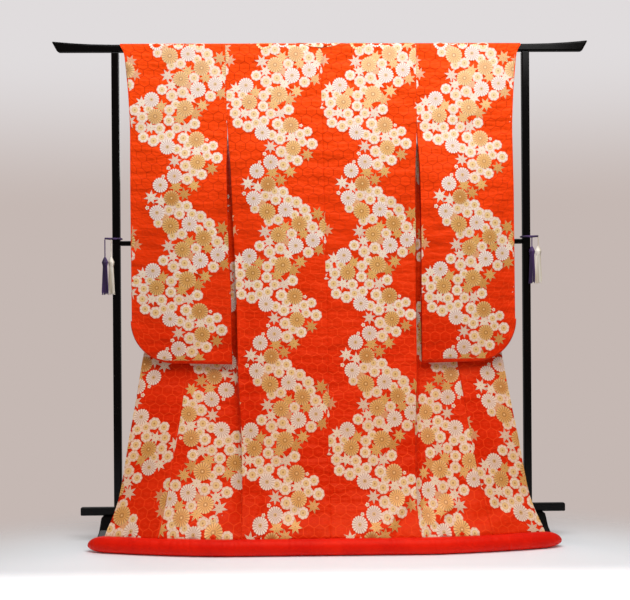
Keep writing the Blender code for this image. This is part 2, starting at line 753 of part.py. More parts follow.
def make_robe(silk, hem_silk, collection):
    """The cut pieces of the robe, left and right as seen from behind the wearer."""
    for side, word in ((-1, "left"), (1, "right")):
        make_body(side, word, silk, collection)
        make_overlap(side, "overlap_" + word, silk, collection)
        make_sleeve(side, word, silk, collection)
        rolls = [
            ("hem_back_", GAP / 2, SIDE_SEAM_X - GAP),
            ("hem_front_", SIDE_SEAM_X, OVERLAP_SEAM_X - GAP),
            ("hem_overlap_", OVERLAP_SEAM_X, ROLL_TIP_X),
        ]
        for start_name, start, end in rolls:
            make_roll(start_name + word, side * start, side * end, hem_silk, collection)
    make_collar("collar", silk, collection)


def main():
    """Build the robe and its stand."""
    clear_scene()
    collection = bpy.data.collections.new("uchikake_on_stand")
    cutters = bpy.data.collections.new("cutters")
    bpy.context.scene.collection.children.link(collection)
    bpy.context.scene.collection.children.link(cutters)
    silk = make_material("red_brocade", (0.80, 0.06, 0.01), 0.45)
    hem_silk = make_material("red_hem_silk", (0.72, 0.02, 0.01), 0.5)
    lacquer = make_material("black_lacquer", (0.012, 0.011, 0.011), 0.2)
    purple = make_material("purple_silk_cord", (0.09, 0.03, 0.16), 0.6)
    cream = make_material("cream_silk_cord", (0.75, 0.66, 0.50), 0.6)
    make_stand(lacquer, collection)
    make_robe(silk, hem_silk, collection)
    make_tassels(purple, cream, collection)


main()
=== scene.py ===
"""Looks of an uchikake wedding kimono in red damask brocade, hung on a black lacquer stand."""

import bisect
import math
import random
from functools import partial

import bmesh
import bpy
import numpy as np
from mathutils import Matrix, Vector


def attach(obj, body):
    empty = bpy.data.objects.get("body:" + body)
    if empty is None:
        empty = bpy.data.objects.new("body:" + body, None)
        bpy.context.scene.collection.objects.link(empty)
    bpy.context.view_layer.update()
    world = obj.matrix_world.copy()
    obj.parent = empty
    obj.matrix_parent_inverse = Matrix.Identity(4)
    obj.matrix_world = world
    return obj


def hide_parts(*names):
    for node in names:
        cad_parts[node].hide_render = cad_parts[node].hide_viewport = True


bl_info = {
    "name": "Uchikake on a kimono stand",
    "version": (1, 0, 0),
    "blender": (4, 5, 0),
    "location": "3D View > Sidebar > Uchikake",
    "description": "Dresses the packed robe and its stand: brocade, padded hem, lacquer and tassels",
    "category": "Object",
}

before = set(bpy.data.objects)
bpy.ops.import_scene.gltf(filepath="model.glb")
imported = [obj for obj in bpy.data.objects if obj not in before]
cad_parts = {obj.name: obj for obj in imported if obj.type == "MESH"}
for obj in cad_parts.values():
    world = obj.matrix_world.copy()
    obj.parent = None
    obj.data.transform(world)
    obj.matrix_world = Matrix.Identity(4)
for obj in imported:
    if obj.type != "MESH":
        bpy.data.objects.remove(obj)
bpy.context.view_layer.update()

# Stand and fold over its top bar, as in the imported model
BAR_TOP = 1.628
BAR_DEPTH = 0.025
WALL = 0.0024
GAP = 0.0003
COVER = WALL / 2 + GAP
FOLD_TOP = BAR_TOP + COVER
FOLD_RADIUS = 0.007
FOLD_HALF_DEPTH = BAR_DEPTH / 2 + COVER
FOLD_FLAT = FOLD_HALF_DEPTH - FOLD_RADIUS
FOLD_ARC = FOLD_RADIUS * math.pi / 2
FOLD_RUN = FOLD_FLAT + FOLD_ARC
FOLD_LOW = FOLD_TOP - FOLD_RADIUS

# Garment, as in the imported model
NECK_HALF_WIDTH = 0.090
NECK_DROP = FOLD_RUN + 0.0085
COLLAR_WIDTH = 0.055
COLLAR_END = 0.80
COLLAR_BEHIND = 0.038
COLLAR_SLANT = 0.055
COLLAR_LIFT = 0.0008
COLLAR_DROP = 0.012
COLLAR_SPLAY = 0.2
COLLAR_SPREAD_RUN = 0.2
COLLAR_COLUMNS = 10
COLLAR_LEAST_STEP = 0.0008
SEAM = 0.0008
OVERLAP_TOP = 1.35
OVERLAP_SEAM_X = 0.5186
HEM_TURN_X = 0.300
HEM_EDGE_X = 0.690
SIDE_SEAM_X = 0.2760
SIDE_SEAM_LAP = 0.003
SIDE_SEAM_DEPTH = 0.0021
FRONT_TURNS = 1.56
FRONT_TURN_RUN = 0.25
FRONT_FREE_RUN = 0.12
BEND_WEIGHT = 5.0
OVERLAP_LEAST = 0.02
SLEEVE_JOIN = 1.358
SLEEVE_BOTTOM = 0.590
SLEEVE_CORNER = 0.13
SLEEVE_PINCH = 0.0030
SLEEVE_PINCH_BELOW = 0.03
SLEEVE_PINCH_ABOVE = 0.05
SLEEVE_JOIN_RUN = 0.05
SLEEVE_HEM_HALF = 0.0122
SLEEVE_HEM_RUN = 0.12
SLEEVE_LEAN_LOST = 0.7
LEAN = 0.013
LEAN_RUN = 1.1
SIDE_TURN = 0.012
SIDE_TURN_LOW = 0.3
SIDE_TURN_HIGH = (1.0, 1.3)
SIDE_TURN_POWER = 4
ROLL_RADIUS = 0.0262
ROLL_HEIGHT = 0.0252
ROLL_Y = -0.272
ROLL_TIP_X = 0.748
ROLL_TAPER = 0.068
ROLL_SAG = 0.25
ROLL_BEND_START = 0.30
ROLL_BEND = 0.094
ROLL_BEND_POWER = 1.6
HEM = 0.0527
FOOT_HALF_LENGTH = 0.135
DEPTH_SHIFT = (FOOT_HALF_LENGTH - (ROLL_Y - ROLL_RADIUS)) / 2 - FOOT_HALF_LENGTH

BACK_ROWS = [
    # height, half width, back y
    (FOLD_LOW, 0.3135, -FOLD_HALF_DEPTH),
    (1.597, 0.3133, -0.0155),
    (1.550, 0.3125, -0.0185),
    (1.450, 0.3115, -0.0260),
    (SLEEVE_JOIN, 0.3100, -0.0330),
    (1.200, 0.3020, -0.0410),
    (1.050, 0.2990, -0.0460),
    (0.800, 0.2930, -0.0595),
    (0.571, 0.2895, -0.0900),
    (0.341, 0.2770, -0.1400),
    (0.154, 0.2740, -0.2050),
    (HEM, 0.2760, ROLL_Y),
]

FRONT_ROWS = [
    # height, turn x, turn y, joint x, joint y, edge x, edge y
    (FOLD_LOW, 0.260, 0.0140, 0.090, 0.0140, 0.090, 0.0140),
    (1.595, 0.262, 0.0150, 0.104, 0.0170, 0.104, 0.0170),
    (1.500, 0.280, 0.0250, 0.172, 0.0480, 0.172, 0.0480),
    (1.380, 0.300, 0.0120, 0.280, 0.0680, 0.274, 0.0740),
    (1.250, 0.306, -0.0020, 0.344, 0.0620, 0.348, 0.0780),
    (1.120, 0.304, -0.0100, 0.374, 0.0260, 0.404, 0.0360),
    (1.010, 0.302, -0.0170, 0.405, -0.0190, 0.460, -0.0200),
    (0.940, 0.300, -0.0190, 0.418, -0.0215, 0.495, -0.0220),
    (0.800, 0.297, -0.0230, 0.430, -0.0245, 0.542, -0.0240),
    (0.600, 0.294, -0.0300, 0.438, -0.0320, 0.588, -0.0310),
    (0.480, 0.292, -0.0560, 0.453, -0.0610, 0.606, -0.0540),
    (0.341, 0.290, -0.0980, 0.472, -0.1030, 0.628, -0.0860),
    (0.154, 0.292, -0.1780, 0.500, -0.1750, 0.656, -0.1350),
]

SLEEVE_ROWS = [
    # height, distance from the back's side, outer x, near y, far y
    (FOLD_LOW, 0.0006, 0.6590, -0.0140, 0.0140),
    (1.597, 0.0006, 0.6460, -0.0155, 0.0140),
    (1.550, 0.0006, 0.6400, -0.0185, 0.0095),
    (1.450, 0.0006, 0.6310, -0.0260, -0.0050),
    (SLEEVE_JOIN, 0.0010, 0.6265, -0.0330, -0.0170),
    (1.200, 0.0135, 0.6255, -0.0560, -0.0260),
    (1.120, 0.0150, 0.6253, -0.0645, -0.0282),
    (0.970, 0.0165, 0.6250, -0.0653, -0.0320),
    (0.730, 0.0180, 0.6245, -0.0672, -0.0382),
    (SLEEVE_BOTTOM, 0.0190, 0.6245, -0.0690, -0.0445),
]

# Cloth as it is dressed here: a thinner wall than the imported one, and seams drawn closed
CLOTH_WALL = 0.0020
STITCH = 0.0001
TUCK = 0.006
OVERLAP_TURNED_IN = 0.006
OVERLAP_UNDER_COLLAR = 0.02
SLEEVE_BARE = 0.002
SEAM_GROOVE = 0.0018
SEAM_GROOVE_HALF_WIDTH = 0.0035
SEAM_GROOVE_RUN = 0.05

# How finely the cloth and the roll are divided
ROW_STEP = 0.010
FOLD_STEP = 0.0035
SHORT_STRETCH = 0.03
COLUMNS = 36
OVERLAP_COLUMNS = 18
SLEEVE_COLUMNS = 26
SLEEVE_CORNER_COLUMNS = 14
SLEEVE_LAYER_ROWS = 106
SLEEVE_FOLD_STEP = 0.004
SLEEVE_HEM_ANGLES = range(-70, 80, 20)
COLLAR_ROWS = 74
COLLAR_STRAIGHT_TOP = 1.600
COLLAR_NECK_STEP = 0.0042
ROLL_SIDES = 28
ROLL_COLUMNS = 110
ROLL_TIP_COLUMNS = 16

# The padded roll: dips at the seams, its slight squash, and the wadding's share of it
ROLL_DIP = 0.004
ROLL_DIP_DEPTH = 0.0011
ROLL_SQUASH = 0.04
ROLL_EVENNESS = 0.98

# Step for a surface's normal, how near two points are merged, and divisions of the tables
SURFACE_STEP = 0.0012
MERGE = 0.00005
MERGE_FLOWERS = 0.00002
TABLE_STEP = 0.001
BEND_HEIGHTS = 120
BEND_SHARES = 40
BEND_STEPS = 500

# Where on the endless damask figure each cloth starts, so that no two are cut alike
FIGURE_ALONG = 4.0
OVERLAP_FIGURE = 1.0
SLEEVE_FIGURE = 2.0
COLLAR_FIGURE = 3.0
FIGURE_SHIFT = 200.0

# Soft ridges, positive, and troughs of the hanging cloth, each from one end to the other:
# x and height of both ends, half width, and how far it stands out
BACK_CREASES = [
    (-0.246, 0.056, -0.205, 0.165, 0.014, -0.0075),
    (-0.230, 0.058, -0.130, 0.088, 0.013, 0.0060),
    (-0.225, 0.095, -0.090, 0.128, 0.011, -0.0045),
    (0.215, 0.062, 0.262, 0.125, 0.016, -0.0085),
    (0.180, 0.090, 0.240, 0.142, 0.016, 0.0065),
    (0.120, 0.070, 0.205, 0.080, 0.011, 0.0045),
    (-0.090, 0.105, 0.010, 0.118, 0.013, -0.0045),
    (-0.110, 0.085, 0.020, 0.092, 0.013, 0.0040),
    (0.030, 0.100, 0.045, 0.620, 0.050, -0.0035),
    (0.245, 0.300, 0.262, 1.080, 0.036, -0.0060),
    (0.160, 0.250, 0.175, 1.200, 0.060, 0.0034),
    (-0.140, 0.350, -0.130, 1.250, 0.070, 0.0032),
    (-0.250, 0.450, -0.262, 1.100, 0.028, -0.0040),
]
SLEEVE_CREASES = {
    -1: [
        (-0.345, 0.620, -0.340, 1.150, 0.030, -0.0035),
        (-0.470, 0.640, -0.460, 1.300, 0.070, 0.0030),
        (-0.590, 0.700, -0.585, 1.250, 0.030, -0.0025),
    ],
    1: [
        (0.345, 0.600, 0.335, 1.150, 0.032, -0.0060),
        (0.440, 0.640, 0.425, 1.200, 0.045, 0.0050),
        (0.600, 0.680, 0.595, 1.050, 0.030, -0.0045),
        (0.530, 0.640, 0.535, 1.250, 0.050, 0.0025),
    ],
}
FRONT_CREASES = {
    -1: [
        (-0.360, 0.075, -0.290, 0.120, 0.014, -0.0065),
        (-0.400, 0.080, -0.330, 0.112, 0.014, 0.0050),
        (-0.440, 0.100, -0.420, 0.480, 0.050, 0.0040),
        (-0.600, 0.080, -0.560, 0.430, 0.040, -0.0030),
    ],
    1: [
        (0.330, 0.065, 0.420, 0.110, 0.016, -0.0080),
        (0.350, 0.100, 0.400, 0.135, 0.014, 0.0055),
        (0.430, 0.070, 0.560, 0.130, 0.015, -0.0060),
        (0.480, 0.060, 0.600, 0.105, 0.015, 0.0050),
        (0.400, 0.120, 0.385, 0.480, 0.030, -0.0060),
        (0.470, 0.140, 0.455, 0.480, 0.040, 0.0045),
    ],
}

# Where the creases fade into flat cloth: beside seams, under the fold and up the panels
BACK_CREASES_RUN = 0.1
BACK_CREASES_EDGE = 0.92
FRONT_CREASES_EDGE = 0.08
FRONT_CREASES_TOP = (0.45, 0.6)
SLEEVE_CREASES_TOP = 1.55

# Woven design: a drifting band of flowers, repeated up each loom width
REPEAT = 0.560
LOOM = 0.338
HEXAGON = 0.0335
BAND = [
    # share of the repeat, centre, half width in metres
    (0.000, 0.223, 0.131),
    (0.050, 0.234, 0.127),
    (0.107, 0.224, 0.134),
    (0.143, 0.203, 0.127),
    (0.180, 0.170, 0.131),
    (0.215, 0.143, 0.122),
    (0.290, 0.105, 0.130),
    (0.360, 0.097, 0.122),
    (0.430, 0.127, 0.113),
    (0.500, 0.181, 0.100),
    (0.570, 0.211, 0.083),
    (0.640, 0.186, 0.083),
    (0.710, 0.141, 0.076),
    (0.785, 0.119, 0.072),
    (0.860, 0.122, 0.082),
    (0.930, 0.153, 0.094),
    (0.965, 0.195, 0.115),
    (1.000, 0.223, 0.131),
]
FLOWERS = [
    # kind, least and greatest radius, most in a repeat, tries, share of touching radii kept free,
    # least and greatest place across the band as a share of its half width, height over the ground
    ("gold_chrysanthemum", 0.0254, 0.0286, 9, 1200, 1.30, -0.75, 0.85, 0.00100),
    ("white_chrysanthemum", 0.0246, 0.0276, 8, 1800, 1.06, -0.90, 0.85, 0.00088),
    ("gold_leaf", 0.0230, 0.0262, 4, 2000, 0.84, 0.80, 1.12, 0.00074),
    ("pale_leaf", 0.0230, 0.0262, 4, 2000, 0.84, -1.12, -0.80, 0.00068),
    ("blossom", 0.0180, 0.0208, 60, 9000, 0.87, -1.00, 1.00, 0.00056),
    ("gold_leaf", 0.0230, 0.0270, 8, 4000, 0.66, -0.95, 1.05, 0.00044),
    ("pale_leaf", 0.0230, 0.0265, 8, 4000, 0.66, -1.05, 0.95, 0.00034),
    ("blossom", 0.0160, 0.0182, 24, 6000, 0.72, -0.95, 0.95, 0.00026),
    ("peach_leaf", 0.0220, 0.0260, 10, 4000, 0.60, -0.90, 1.05, 0.00012),
    ("bud", 0.0064, 0.0080, 4, 4000, 0.95, -1.00, 1.00, 0.00050),
]
FLOAT_RISE = 0.00018
OVERLAY = 0.00003
OVERLAY_LEVELS = 8
BAND_MARGIN = 0.75

# Where a repeat starts on each cloth, on the left and on the right: across the cloth and along
# it from the bar, and on the overlaps the height that gives the distance from the bar
BACK_REPEAT = {-1: (0.308, 0.030), 1: (0.0, 0.030)}
FRONT_REPEAT = {-1: (0.318, -0.430), 1: (0.004, -0.430)}
SLEEVE_REPEAT = {-1: (0.304, 0.076), 1: (0.002, 0.076)}
OVERLAP_REPEAT = {-1: (0.016, 0.388), 1: (0.002, 0.136)}
COLLAR_REPEAT = (-0.145, 0.020)

SIDES = ((-1, "left"), (1, "right"))

# Stage
FLOOR_SIZE = 24.0
FLOOR_PLACE = (0.0, 3.0, -0.0005)
CAMERA_AIM_X = -0.0245


def clamp(value, low=0.0, high=1.0):
    """The value, kept between low and high."""
    return min(high, max(low, value))


def ease(value, start, end):
    """Return 0 before start and 1 after end, with a smooth step between."""
    share = clamp((value - start) / (end - start))
    return share * share * (3 - 2 * share)


def slopes(heights, values):
    """Return the slope at each row, limited so that the curve never overshoots."""
    steps = [
        (values[i + 1] - values[i]) / (heights[i + 1] - heights[i])
        for i in range(len(values) - 1)
    ]
    inner = [
        2 * a * b / (a + b) if a * b > 0 else 0.0
        for a, b in zip(steps, steps[1:])
    ]
    return [steps[0]] + inner + [steps[-1]]


def read_rows(rows, height):
    """Return a table's columns at a height, on smooth curves through its rows."""
    heights = [row[0] for row in rows]
    height = clamp(height, heights[-1], heights[0])
    index = next(i for i in range(len(rows) - 1) if height >= heights[i + 1])
    width = heights[index + 1] - heights[index]
    t = (height - heights[index]) / width
    result = []
    for column in range(1, len(rows[0])):
        values = [row[column] for row in rows]
        slope = slopes(heights, values)
        result.append(
            (2 * t**3 - 3 * t**2 + 1) * values[index]
            + (t**3 - 2 * t**2 + t) * width * slope[index]
            + (3 * t**2 - 2 * t**3) * values[index + 1]
            + (t**3 - t**2) * width * slope[index + 1]
        )
    return result


class RowTable:
    """A table read every millimetre, so that many points can be looked up quickly."""

    def __init__(self, rows):
        self.low = rows[-1][0]
        count = int((rows[0][0] - self.low) / TABLE_STEP) + 2
        self.values = [read_rows(rows, self.low + TABLE_STEP * i) for i in range(count)]

    def at(self, height):
        """The table's columns at a height."""
        place = clamp((height - self.low) / TABLE_STEP, 0.0, len(self.values) - 1.001)
        index = int(place)
        share = place - index
        first, second = self.values[index], self.values[index + 1]
        return [a + (b - a) * share for a, b in zip(first, second)]


def roll_y(x):
    """Depth of the hem roll's centre line across its width."""
    past = max(0.0, abs(x) - ROLL_BEND_START) / (ROLL_TIP_X - ROLL_BEND_START)
    return ROLL_Y + ROLL_BEND * past**ROLL_BEND_POWER


BACK_TABLE = RowTable(BACK_ROWS)
SLEEVE_TABLE = RowTable(SLEEVE_ROWS)
FRONT_TABLE = RowTable(FRONT_ROWS + [(
    HEM, HEM_TURN_X, roll_y(HEM_TURN_X), OVERLAP_SEAM_X, roll_y(OVERLAP_SEAM_X),
    HEM_EDGE_X, roll_y(HEM_EDGE_X),
)])


def lean(height):
    """The lower robe hangs a little towards +X."""
    return LEAN * ease(FOLD_TOP - height, 0.0, LEAN_RUN)


def over_bar(distance, lift=0.0):
    """Depth and height on the fold over the bar; positive distances are near, -Y."""
    side = -1 if distance > 0 else 1
    run = abs(distance)
    if run <= FOLD_FLAT:
        return side * run, FOLD_TOP + lift
    angle = min(math.pi / 2, (run - FOLD_FLAT) / FOLD_RADIUS)
    fall = max(0.0, run - FOLD_FLAT - FOLD_ARC)
    depth = FOLD_FLAT + (FOLD_RADIUS + lift) * math.sin(angle)
    return side * depth, FOLD_LOW + (FOLD_RADIUS + lift) * math.cos(angle) - fall


def relief(creases, x, z):
    """Height of the soft ridges and troughs at a place on a hanging cloth."""
    total = 0.0
    for x0, z0, x1, z1, half_width, depth in creases:
        dx, dz = x1 - x0, z1 - z0
        share = clamp(((x - x0) * dx + (z - z0) * dz) / (dx * dx + dz * dz))
        off = math.hypot(x - x0 - dx * share, z - z0 - dz * share) / half_width
        if off < 3:
            total += depth * math.exp(-off * off)
    return total


def back_point(side, across, height):
    """A point of the back; across runs from the centre seam, 0, to the side, 1."""
    half, y = BACK_TABLE.at(height)
    turn = ease(height, HEM, SIDE_TURN_LOW) * (1 - ease(height, *SIDE_TURN_HIGH))
    y += SIDE_TURN * turn * across**SIDE_TURN_POWER
    x = STITCH / 2 + (half - STITCH / 2) * across
    return side * x + lean(height), y, height


def front_plan(height):
    """The plan points of a front section: side seam, turn, overlap seam and edge."""
    half = BACK_TABLE.at(height)[0]
    behind = back_point(1, 1.0, height)[1] + SIDE_SEAM_DEPTH
    far = SLEEVE_TABLE.at(height)[3]
    share = ease(SLEEVE_JOIN - height, 0.0, FRONT_FREE_RUN)
    lap = SIDE_SEAM_LAP * ease(FRONT_TURNS - height, 0.0, FRONT_TURN_RUN)
    values = FRONT_TABLE.at(height)
    seam = (half - lap, far + (behind - far) * share)
    return [seam] + [tuple(values[i:i + 2]) for i in range(0, 6, 2)]


def bend(start, middle, end, t):
    """A point on the bend from start to end that passes close to middle."""
    a, b, c = (1 - t) ** 2, 2 * BEND_WEIGHT * t * (1 - t), t * t
    return tuple((a * p + b * q + c * r) / (a + b + c) for p, q, r in zip(start, middle, end))


def measure_bends():
    """Length of each front section, and the bend's own measure at even shares of it."""
    steps = np.linspace(0.0, 1.0, BEND_STEPS)
    lengths, measures = [], []
    for index in range(BEND_HEIGHTS + 1):
        height = HEM + (FOLD_LOW - HEM) * index / BEND_HEIGHTS
        knots = [np.array(p)[:, None] * np.ones(BEND_STEPS) for p in front_plan(height)[:3]]
        x, y = bend(*knots, steps)
        run = np.concatenate([[0.0], np.cumsum(np.hypot(np.diff(x), np.diff(y)))])
        lengths.append(float(run[-1]))
        even = np.linspace(0.0, run[-1], BEND_SHARES + 1)
        measures.append([float(t) for t in np.interp(even, run, steps)])
    return lengths, measures


FRONT_LENGTHS, FRONT_MEASURES = measure_bends()


def bend_row(height):
    """The measured bend just below a height, and how far the height lies on to the next one."""
    place = clamp((height - HEM) / (FOLD_LOW - HEM) * BEND_HEIGHTS, 0.0, BEND_HEIGHTS - 0.001)
    index = int(place)
    return index, place - index


def front_length(height):
    """Width of the front's cloth at a height, measured round its bend."""
    index, share = bend_row(height)
    return FRONT_LENGTHS[index] + (FRONT_LENGTHS[index + 1] - FRONT_LENGTHS[index]) * share


def front_measure(share, height):
    """The bend's own measure at a share of the front's width, from its side seam."""
    index, past = bend_row(height)
    across = clamp(share) * BEND_SHARES
    column = min(int(across), BEND_SHARES - 1)
    found = []
    for row in (FRONT_MEASURES[index], FRONT_MEASURES[index + 1]):
        found.append(row[column] + (row[column + 1] - row[column]) * (across - column))
    return found[0] + (found[1] - found[0]) * past


def front_point(side, share, height):
    """A point of a front; share runs evenly from the side seam, 0, to the overlap seam, 1."""
    across = front_measure(share, height)
    x, y = bend(*front_plan(height)[:3], across)
    return side * x + lean(height) * (1 - across), y, height


def edge_direction(height):
    """Unit direction, in plan, in which the front runs past its edge."""
    turn, joint, edge = front_plan(height)[1:]
    dx, dy = edge[0] - turn[0], edge[1] - turn[1]
    if math.hypot(edge[0] - joint[0], edge[1] - joint[1]) > OVERLAP_LEAST:
        dx, dy = edge[0] - joint[0], edge[1] - joint[1]
    length = math.hypot(dx, dy)
    return dx / length, dy / length


def neck_inner(distance):
    """Where the body panel stops beside the neck on the near side of the fold."""
    share = min(1.0, max(0.0, distance) / NECK_DROP)
    return NECK_HALF_WIDTH * math.sqrt(1 - share)


def front_relief(side, x, z):
    """Height of the creases on a front or an overlap, which end below the sleeves."""
    return relief(FRONT_CREASES[side], x, z) * (1 - ease(z, *FRONT_CREASES_TOP))


def body_surface(side, u, s):
    """A body length's point, u from the centre back and s along the cloth from the bar."""
    run = abs(s) - FOLD_RUN
    if run < 0:
        y, z = over_bar(s)
        return side * u, y + DEPTH_SHIFT, z
    height = FOLD_LOW - run
    half = BACK_TABLE.at(height)[0]
    if s > 0:
        across = (u - STITCH / 2) / (half - STITCH / 2)
        x, y, z = back_point(side, across, height)
        crease = relief(BACK_CREASES, x, z) * ease(run, 0.0, BACK_CREASES_RUN)
        y -= crease * (1 - ease(across, BACK_CREASES_EDGE, 1.0))
        groove = math.exp(-(u / SEAM_GROOVE_HALF_WIDTH) ** 2)
        y += SEAM_GROOVE * groove * ease(run, 0.0, SEAM_GROOVE_RUN)
        return x, y + DEPTH_SHIFT, z
    share = (half - u) / front_length(height)
    x, y, z = front_point(side, share, height)
    y -= front_relief(side, x, z) * ease(share, 0.0, FRONT_CREASES_EDGE)
    return x, y + DEPTH_SHIFT, z


def body_limits(s):
    """Inner and outer u of a body length at s."""
    run = max(0.0, abs(s) - FOLD_RUN)
    half = BACK_TABLE.at(FOLD_LOW - run)[0]
    if s >= -FOLD_RUN:
        return max(neck_inner(s), STITCH / 2), half
    return half - front_length(FOLD_LOW - run), half


def overlap_surface(side, u, z):
    """A point of the overlap panel, u from the front's seam."""
    joint, edge = front_plan(z)[2:]
    share = u / math.hypot(edge[0] - joint[0], edge[1] - joint[1])
    x = side * (joint[0] + (edge[0] - joint[0]) * share)
    y = joint[1] + (edge[1] - joint[1]) * share
    y -= front_relief(side, x, z)
    return x, y + DEPTH_SHIFT, z


def overlap_limits(z):
    """Inner and outer u of the overlap panel at a height."""
    joint, edge = front_plan(z)[2:]
    return STITCH, max(2 * STITCH, math.hypot(edge[0] - joint[0], edge[1] - joint[1]))


SLEEVE_WIDTH = SLEEVE_ROWS[-1][2] - read_rows(BACK_ROWS, SLEEVE_BOTTOM)[0] - SLEEVE_ROWS[-1][1]


def sleeve_floor(across):
    """Height of the sleeve's lower edge, rising round its outer corner."""
    reach = max(0.0, across * SLEEVE_WIDTH - (SLEEVE_WIDTH - SLEEVE_CORNER))
    return SLEEVE_BOTTOM + SLEEVE_CORNER - math.sqrt(max(0.0, SLEEVE_CORNER**2 - reach**2))


def sleeve_point(side, across, height, layer):
    """A point of the sleeve; layer is -1 on the near side and 1 on the far side."""
    beside, outer, near, far = SLEEVE_TABLE.at(height)
    half_back, back_y = BACK_TABLE.at(height)
    inner = half_back + beside
    near += (back_y - near) * ease(height, SLEEVE_JOIN - SLEEVE_JOIN_RUN, SLEEVE_JOIN)
    floor = sleeve_floor(across)
    half = (far - near) / 2
    half += (SLEEVE_HEM_HALF - half) * (1 - ease(height - floor, 0.0, SLEEVE_HEM_RUN))
    free = ease(height, SLEEVE_JOIN - SLEEVE_PINCH_BELOW, SLEEVE_JOIN + SLEEVE_PINCH_ABOVE)
    half += (SLEEVE_PINCH - half) * (across * (1 - free))
    x = side * (inner + (outer - inner) * across)
    x += lean(height) * (1 - SLEEVE_LEAN_LOST * across)
    y = (near + far) / 2 + layer * half
    y -= relief(SLEEVE_CREASES[side], x, height) * (1 - ease(height, SLEEVE_JOIN, SLEEVE_CREASES_TOP))
    return x, y, height


def sleeve_span(height):
    """Width of a sleeve panel at a height."""
    beside, outer = SLEEVE_TABLE.at(height)[:2]
    return outer - BACK_TABLE.at(height)[0] - beside


def sleeve_surface(side, u, s):
    """A sleeve's point, u from its inner edge and s along the cloth, near side positive."""
    run = max(0.0, abs(s) - FOLD_RUN)
    height = FOLD_LOW - run
    across = clamp(u / sleeve_span(height))
    if run == 0:
        y, z = over_bar(s)
        x = sleeve_point(side, across, FOLD_LOW, -1)[0]
        return x, y + DEPTH_SHIFT, z
    x, y, z = sleeve_point(side, across, height, -1 if s > 0 else 1)
    return x, y + DEPTH_SHIFT, z


def collar_edge(side, column, height):
    """A point of the collar beside a front edge, its columns spreading out below the fold."""
    even = column / (COLLAR_COLUMNS - 1)
    close = 1.0 if even == 1.0 else column * COLLAR_LEAST_STEP / COLLAR_WIDTH
    share = close + (even - close) * ease(FOLD_LOW - height, 0.0, COLLAR_SPREAD_RUN)
    edge = front_plan(height)[3]
    dx, dy = edge_direction(height)
    run = SEAM + COLLAR_WIDTH * share
    drop = COLLAR_SLANT * share * ease(height, OVERLAP_TOP, FOLD_LOW)
    return side * (edge[0] + dx * run), edge[1] + dy * run + DEPTH_SHIFT, height - drop


def collar_over(seam, free, column):
    """Distance over the bar of a collar column, with columns kept on the fold's two arcs."""
    arc = [FOLD_FLAT + FOLD_ARC * i / 3 for i in (3, 2, 1, 0)]
    knots = arc + [-d for d in reversed(arc)]
    if column == 0:
        return seam
    if column == COLLAR_COLUMNS - 1:
        return free
    return min(seam - COLLAR_LEAST_STEP * column, knots[column - 1])


def collar_top(side, seam, column):
    """A point of the collar over the bar, for a row whose seam lies at that distance."""
    behind = COLLAR_BEHIND * (1 - max(0.0, seam) / NECK_DROP)
    free = min(0.0, seam) * COLLAR_SPLAY - FOLD_RUN - COLLAR_DROP - behind
    start = seam - SEAM if seam > 0 else seam
    run = collar_over(start, free, column)
    narrowing = (COLLAR_WIDTH - SEAM) * (start - run) / (start - free)
    half = NECK_HALF_WIDTH - SEAM - narrowing
    y, z = over_bar(run, COLLAR_LIFT)
    return side * half * neck_inner(seam) / NECK_HALF_WIDTH, y + DEPTH_SHIFT, z


def spread(start, end, count):
    """Evenly spaced values from start to end, both included."""
    return [start + (end - start) * i / (count - 1) for i in range(count)]


def linear(hex_colour):
    """Turn an sRGB hex colour into linear red, green, blue and alpha."""
    parts = [int(hex_colour[i:i + 2], 16) / 255 for i in (1, 3, 5)]
    return [c / 12.92 if c <= 0.04045 else ((c + 0.055) / 1.055) ** 2.4 for c in parts] + [1.0]


def add_node(tree, kind, inputs=None, **settings):
    """Add a node with its settings; inputs maps its sockets to values or other sockets."""
    made = tree.nodes.new(kind)
    for name, value in settings.items():
        setattr(made, name, value)
    for socket, value in (inputs or {}).items():
        if isinstance(value, bpy.types.NodeSocket):
            tree.links.new(value, made.inputs[socket])
        else:
            made.inputs[socket].default_value = value
    return made


def start_material(name, **constants):
    """A new material with its shader's constants set; returns it with its tree and shader."""
    material = bpy.data.materials.new(name)
    material.use_nodes = True
    tree = material.node_tree
    shader = tree.nodes["Principled BSDF"]
    for socket, value in constants.items():
        shader.inputs[socket.replace("_", " ")].default_value = value
    return material, tree, shader


def maths(tree, operation, *values):
    """The result of a Math node."""
    return add_node(tree, "ShaderNodeMath", dict(enumerate(values)), operation=operation).outputs[0]


def vectors(tree, operation, *values):
    """The vector result of a Vector Math node."""
    return add_node(tree, "ShaderNodeVectorMath", dict(enumerate(values)), operation=operation).outputs[0]


def blend_colours(tree, share, first, second):
    """The colour between two, by a share."""
    return add_node(tree, "ShaderNodeMix", {0: share, 6: first, 7: second}, data_type="RGBA").outputs[2]


def smooth_share(tree, value, low, high):
    """A smooth step of a value from low, 0, to high, 1."""
    return add_node(
        tree, "ShaderNodeMapRange", {"Value": value, "From Min": low, "From Max": high},
        interpolation_type="SMOOTHSTEP",
    ).outputs[0]


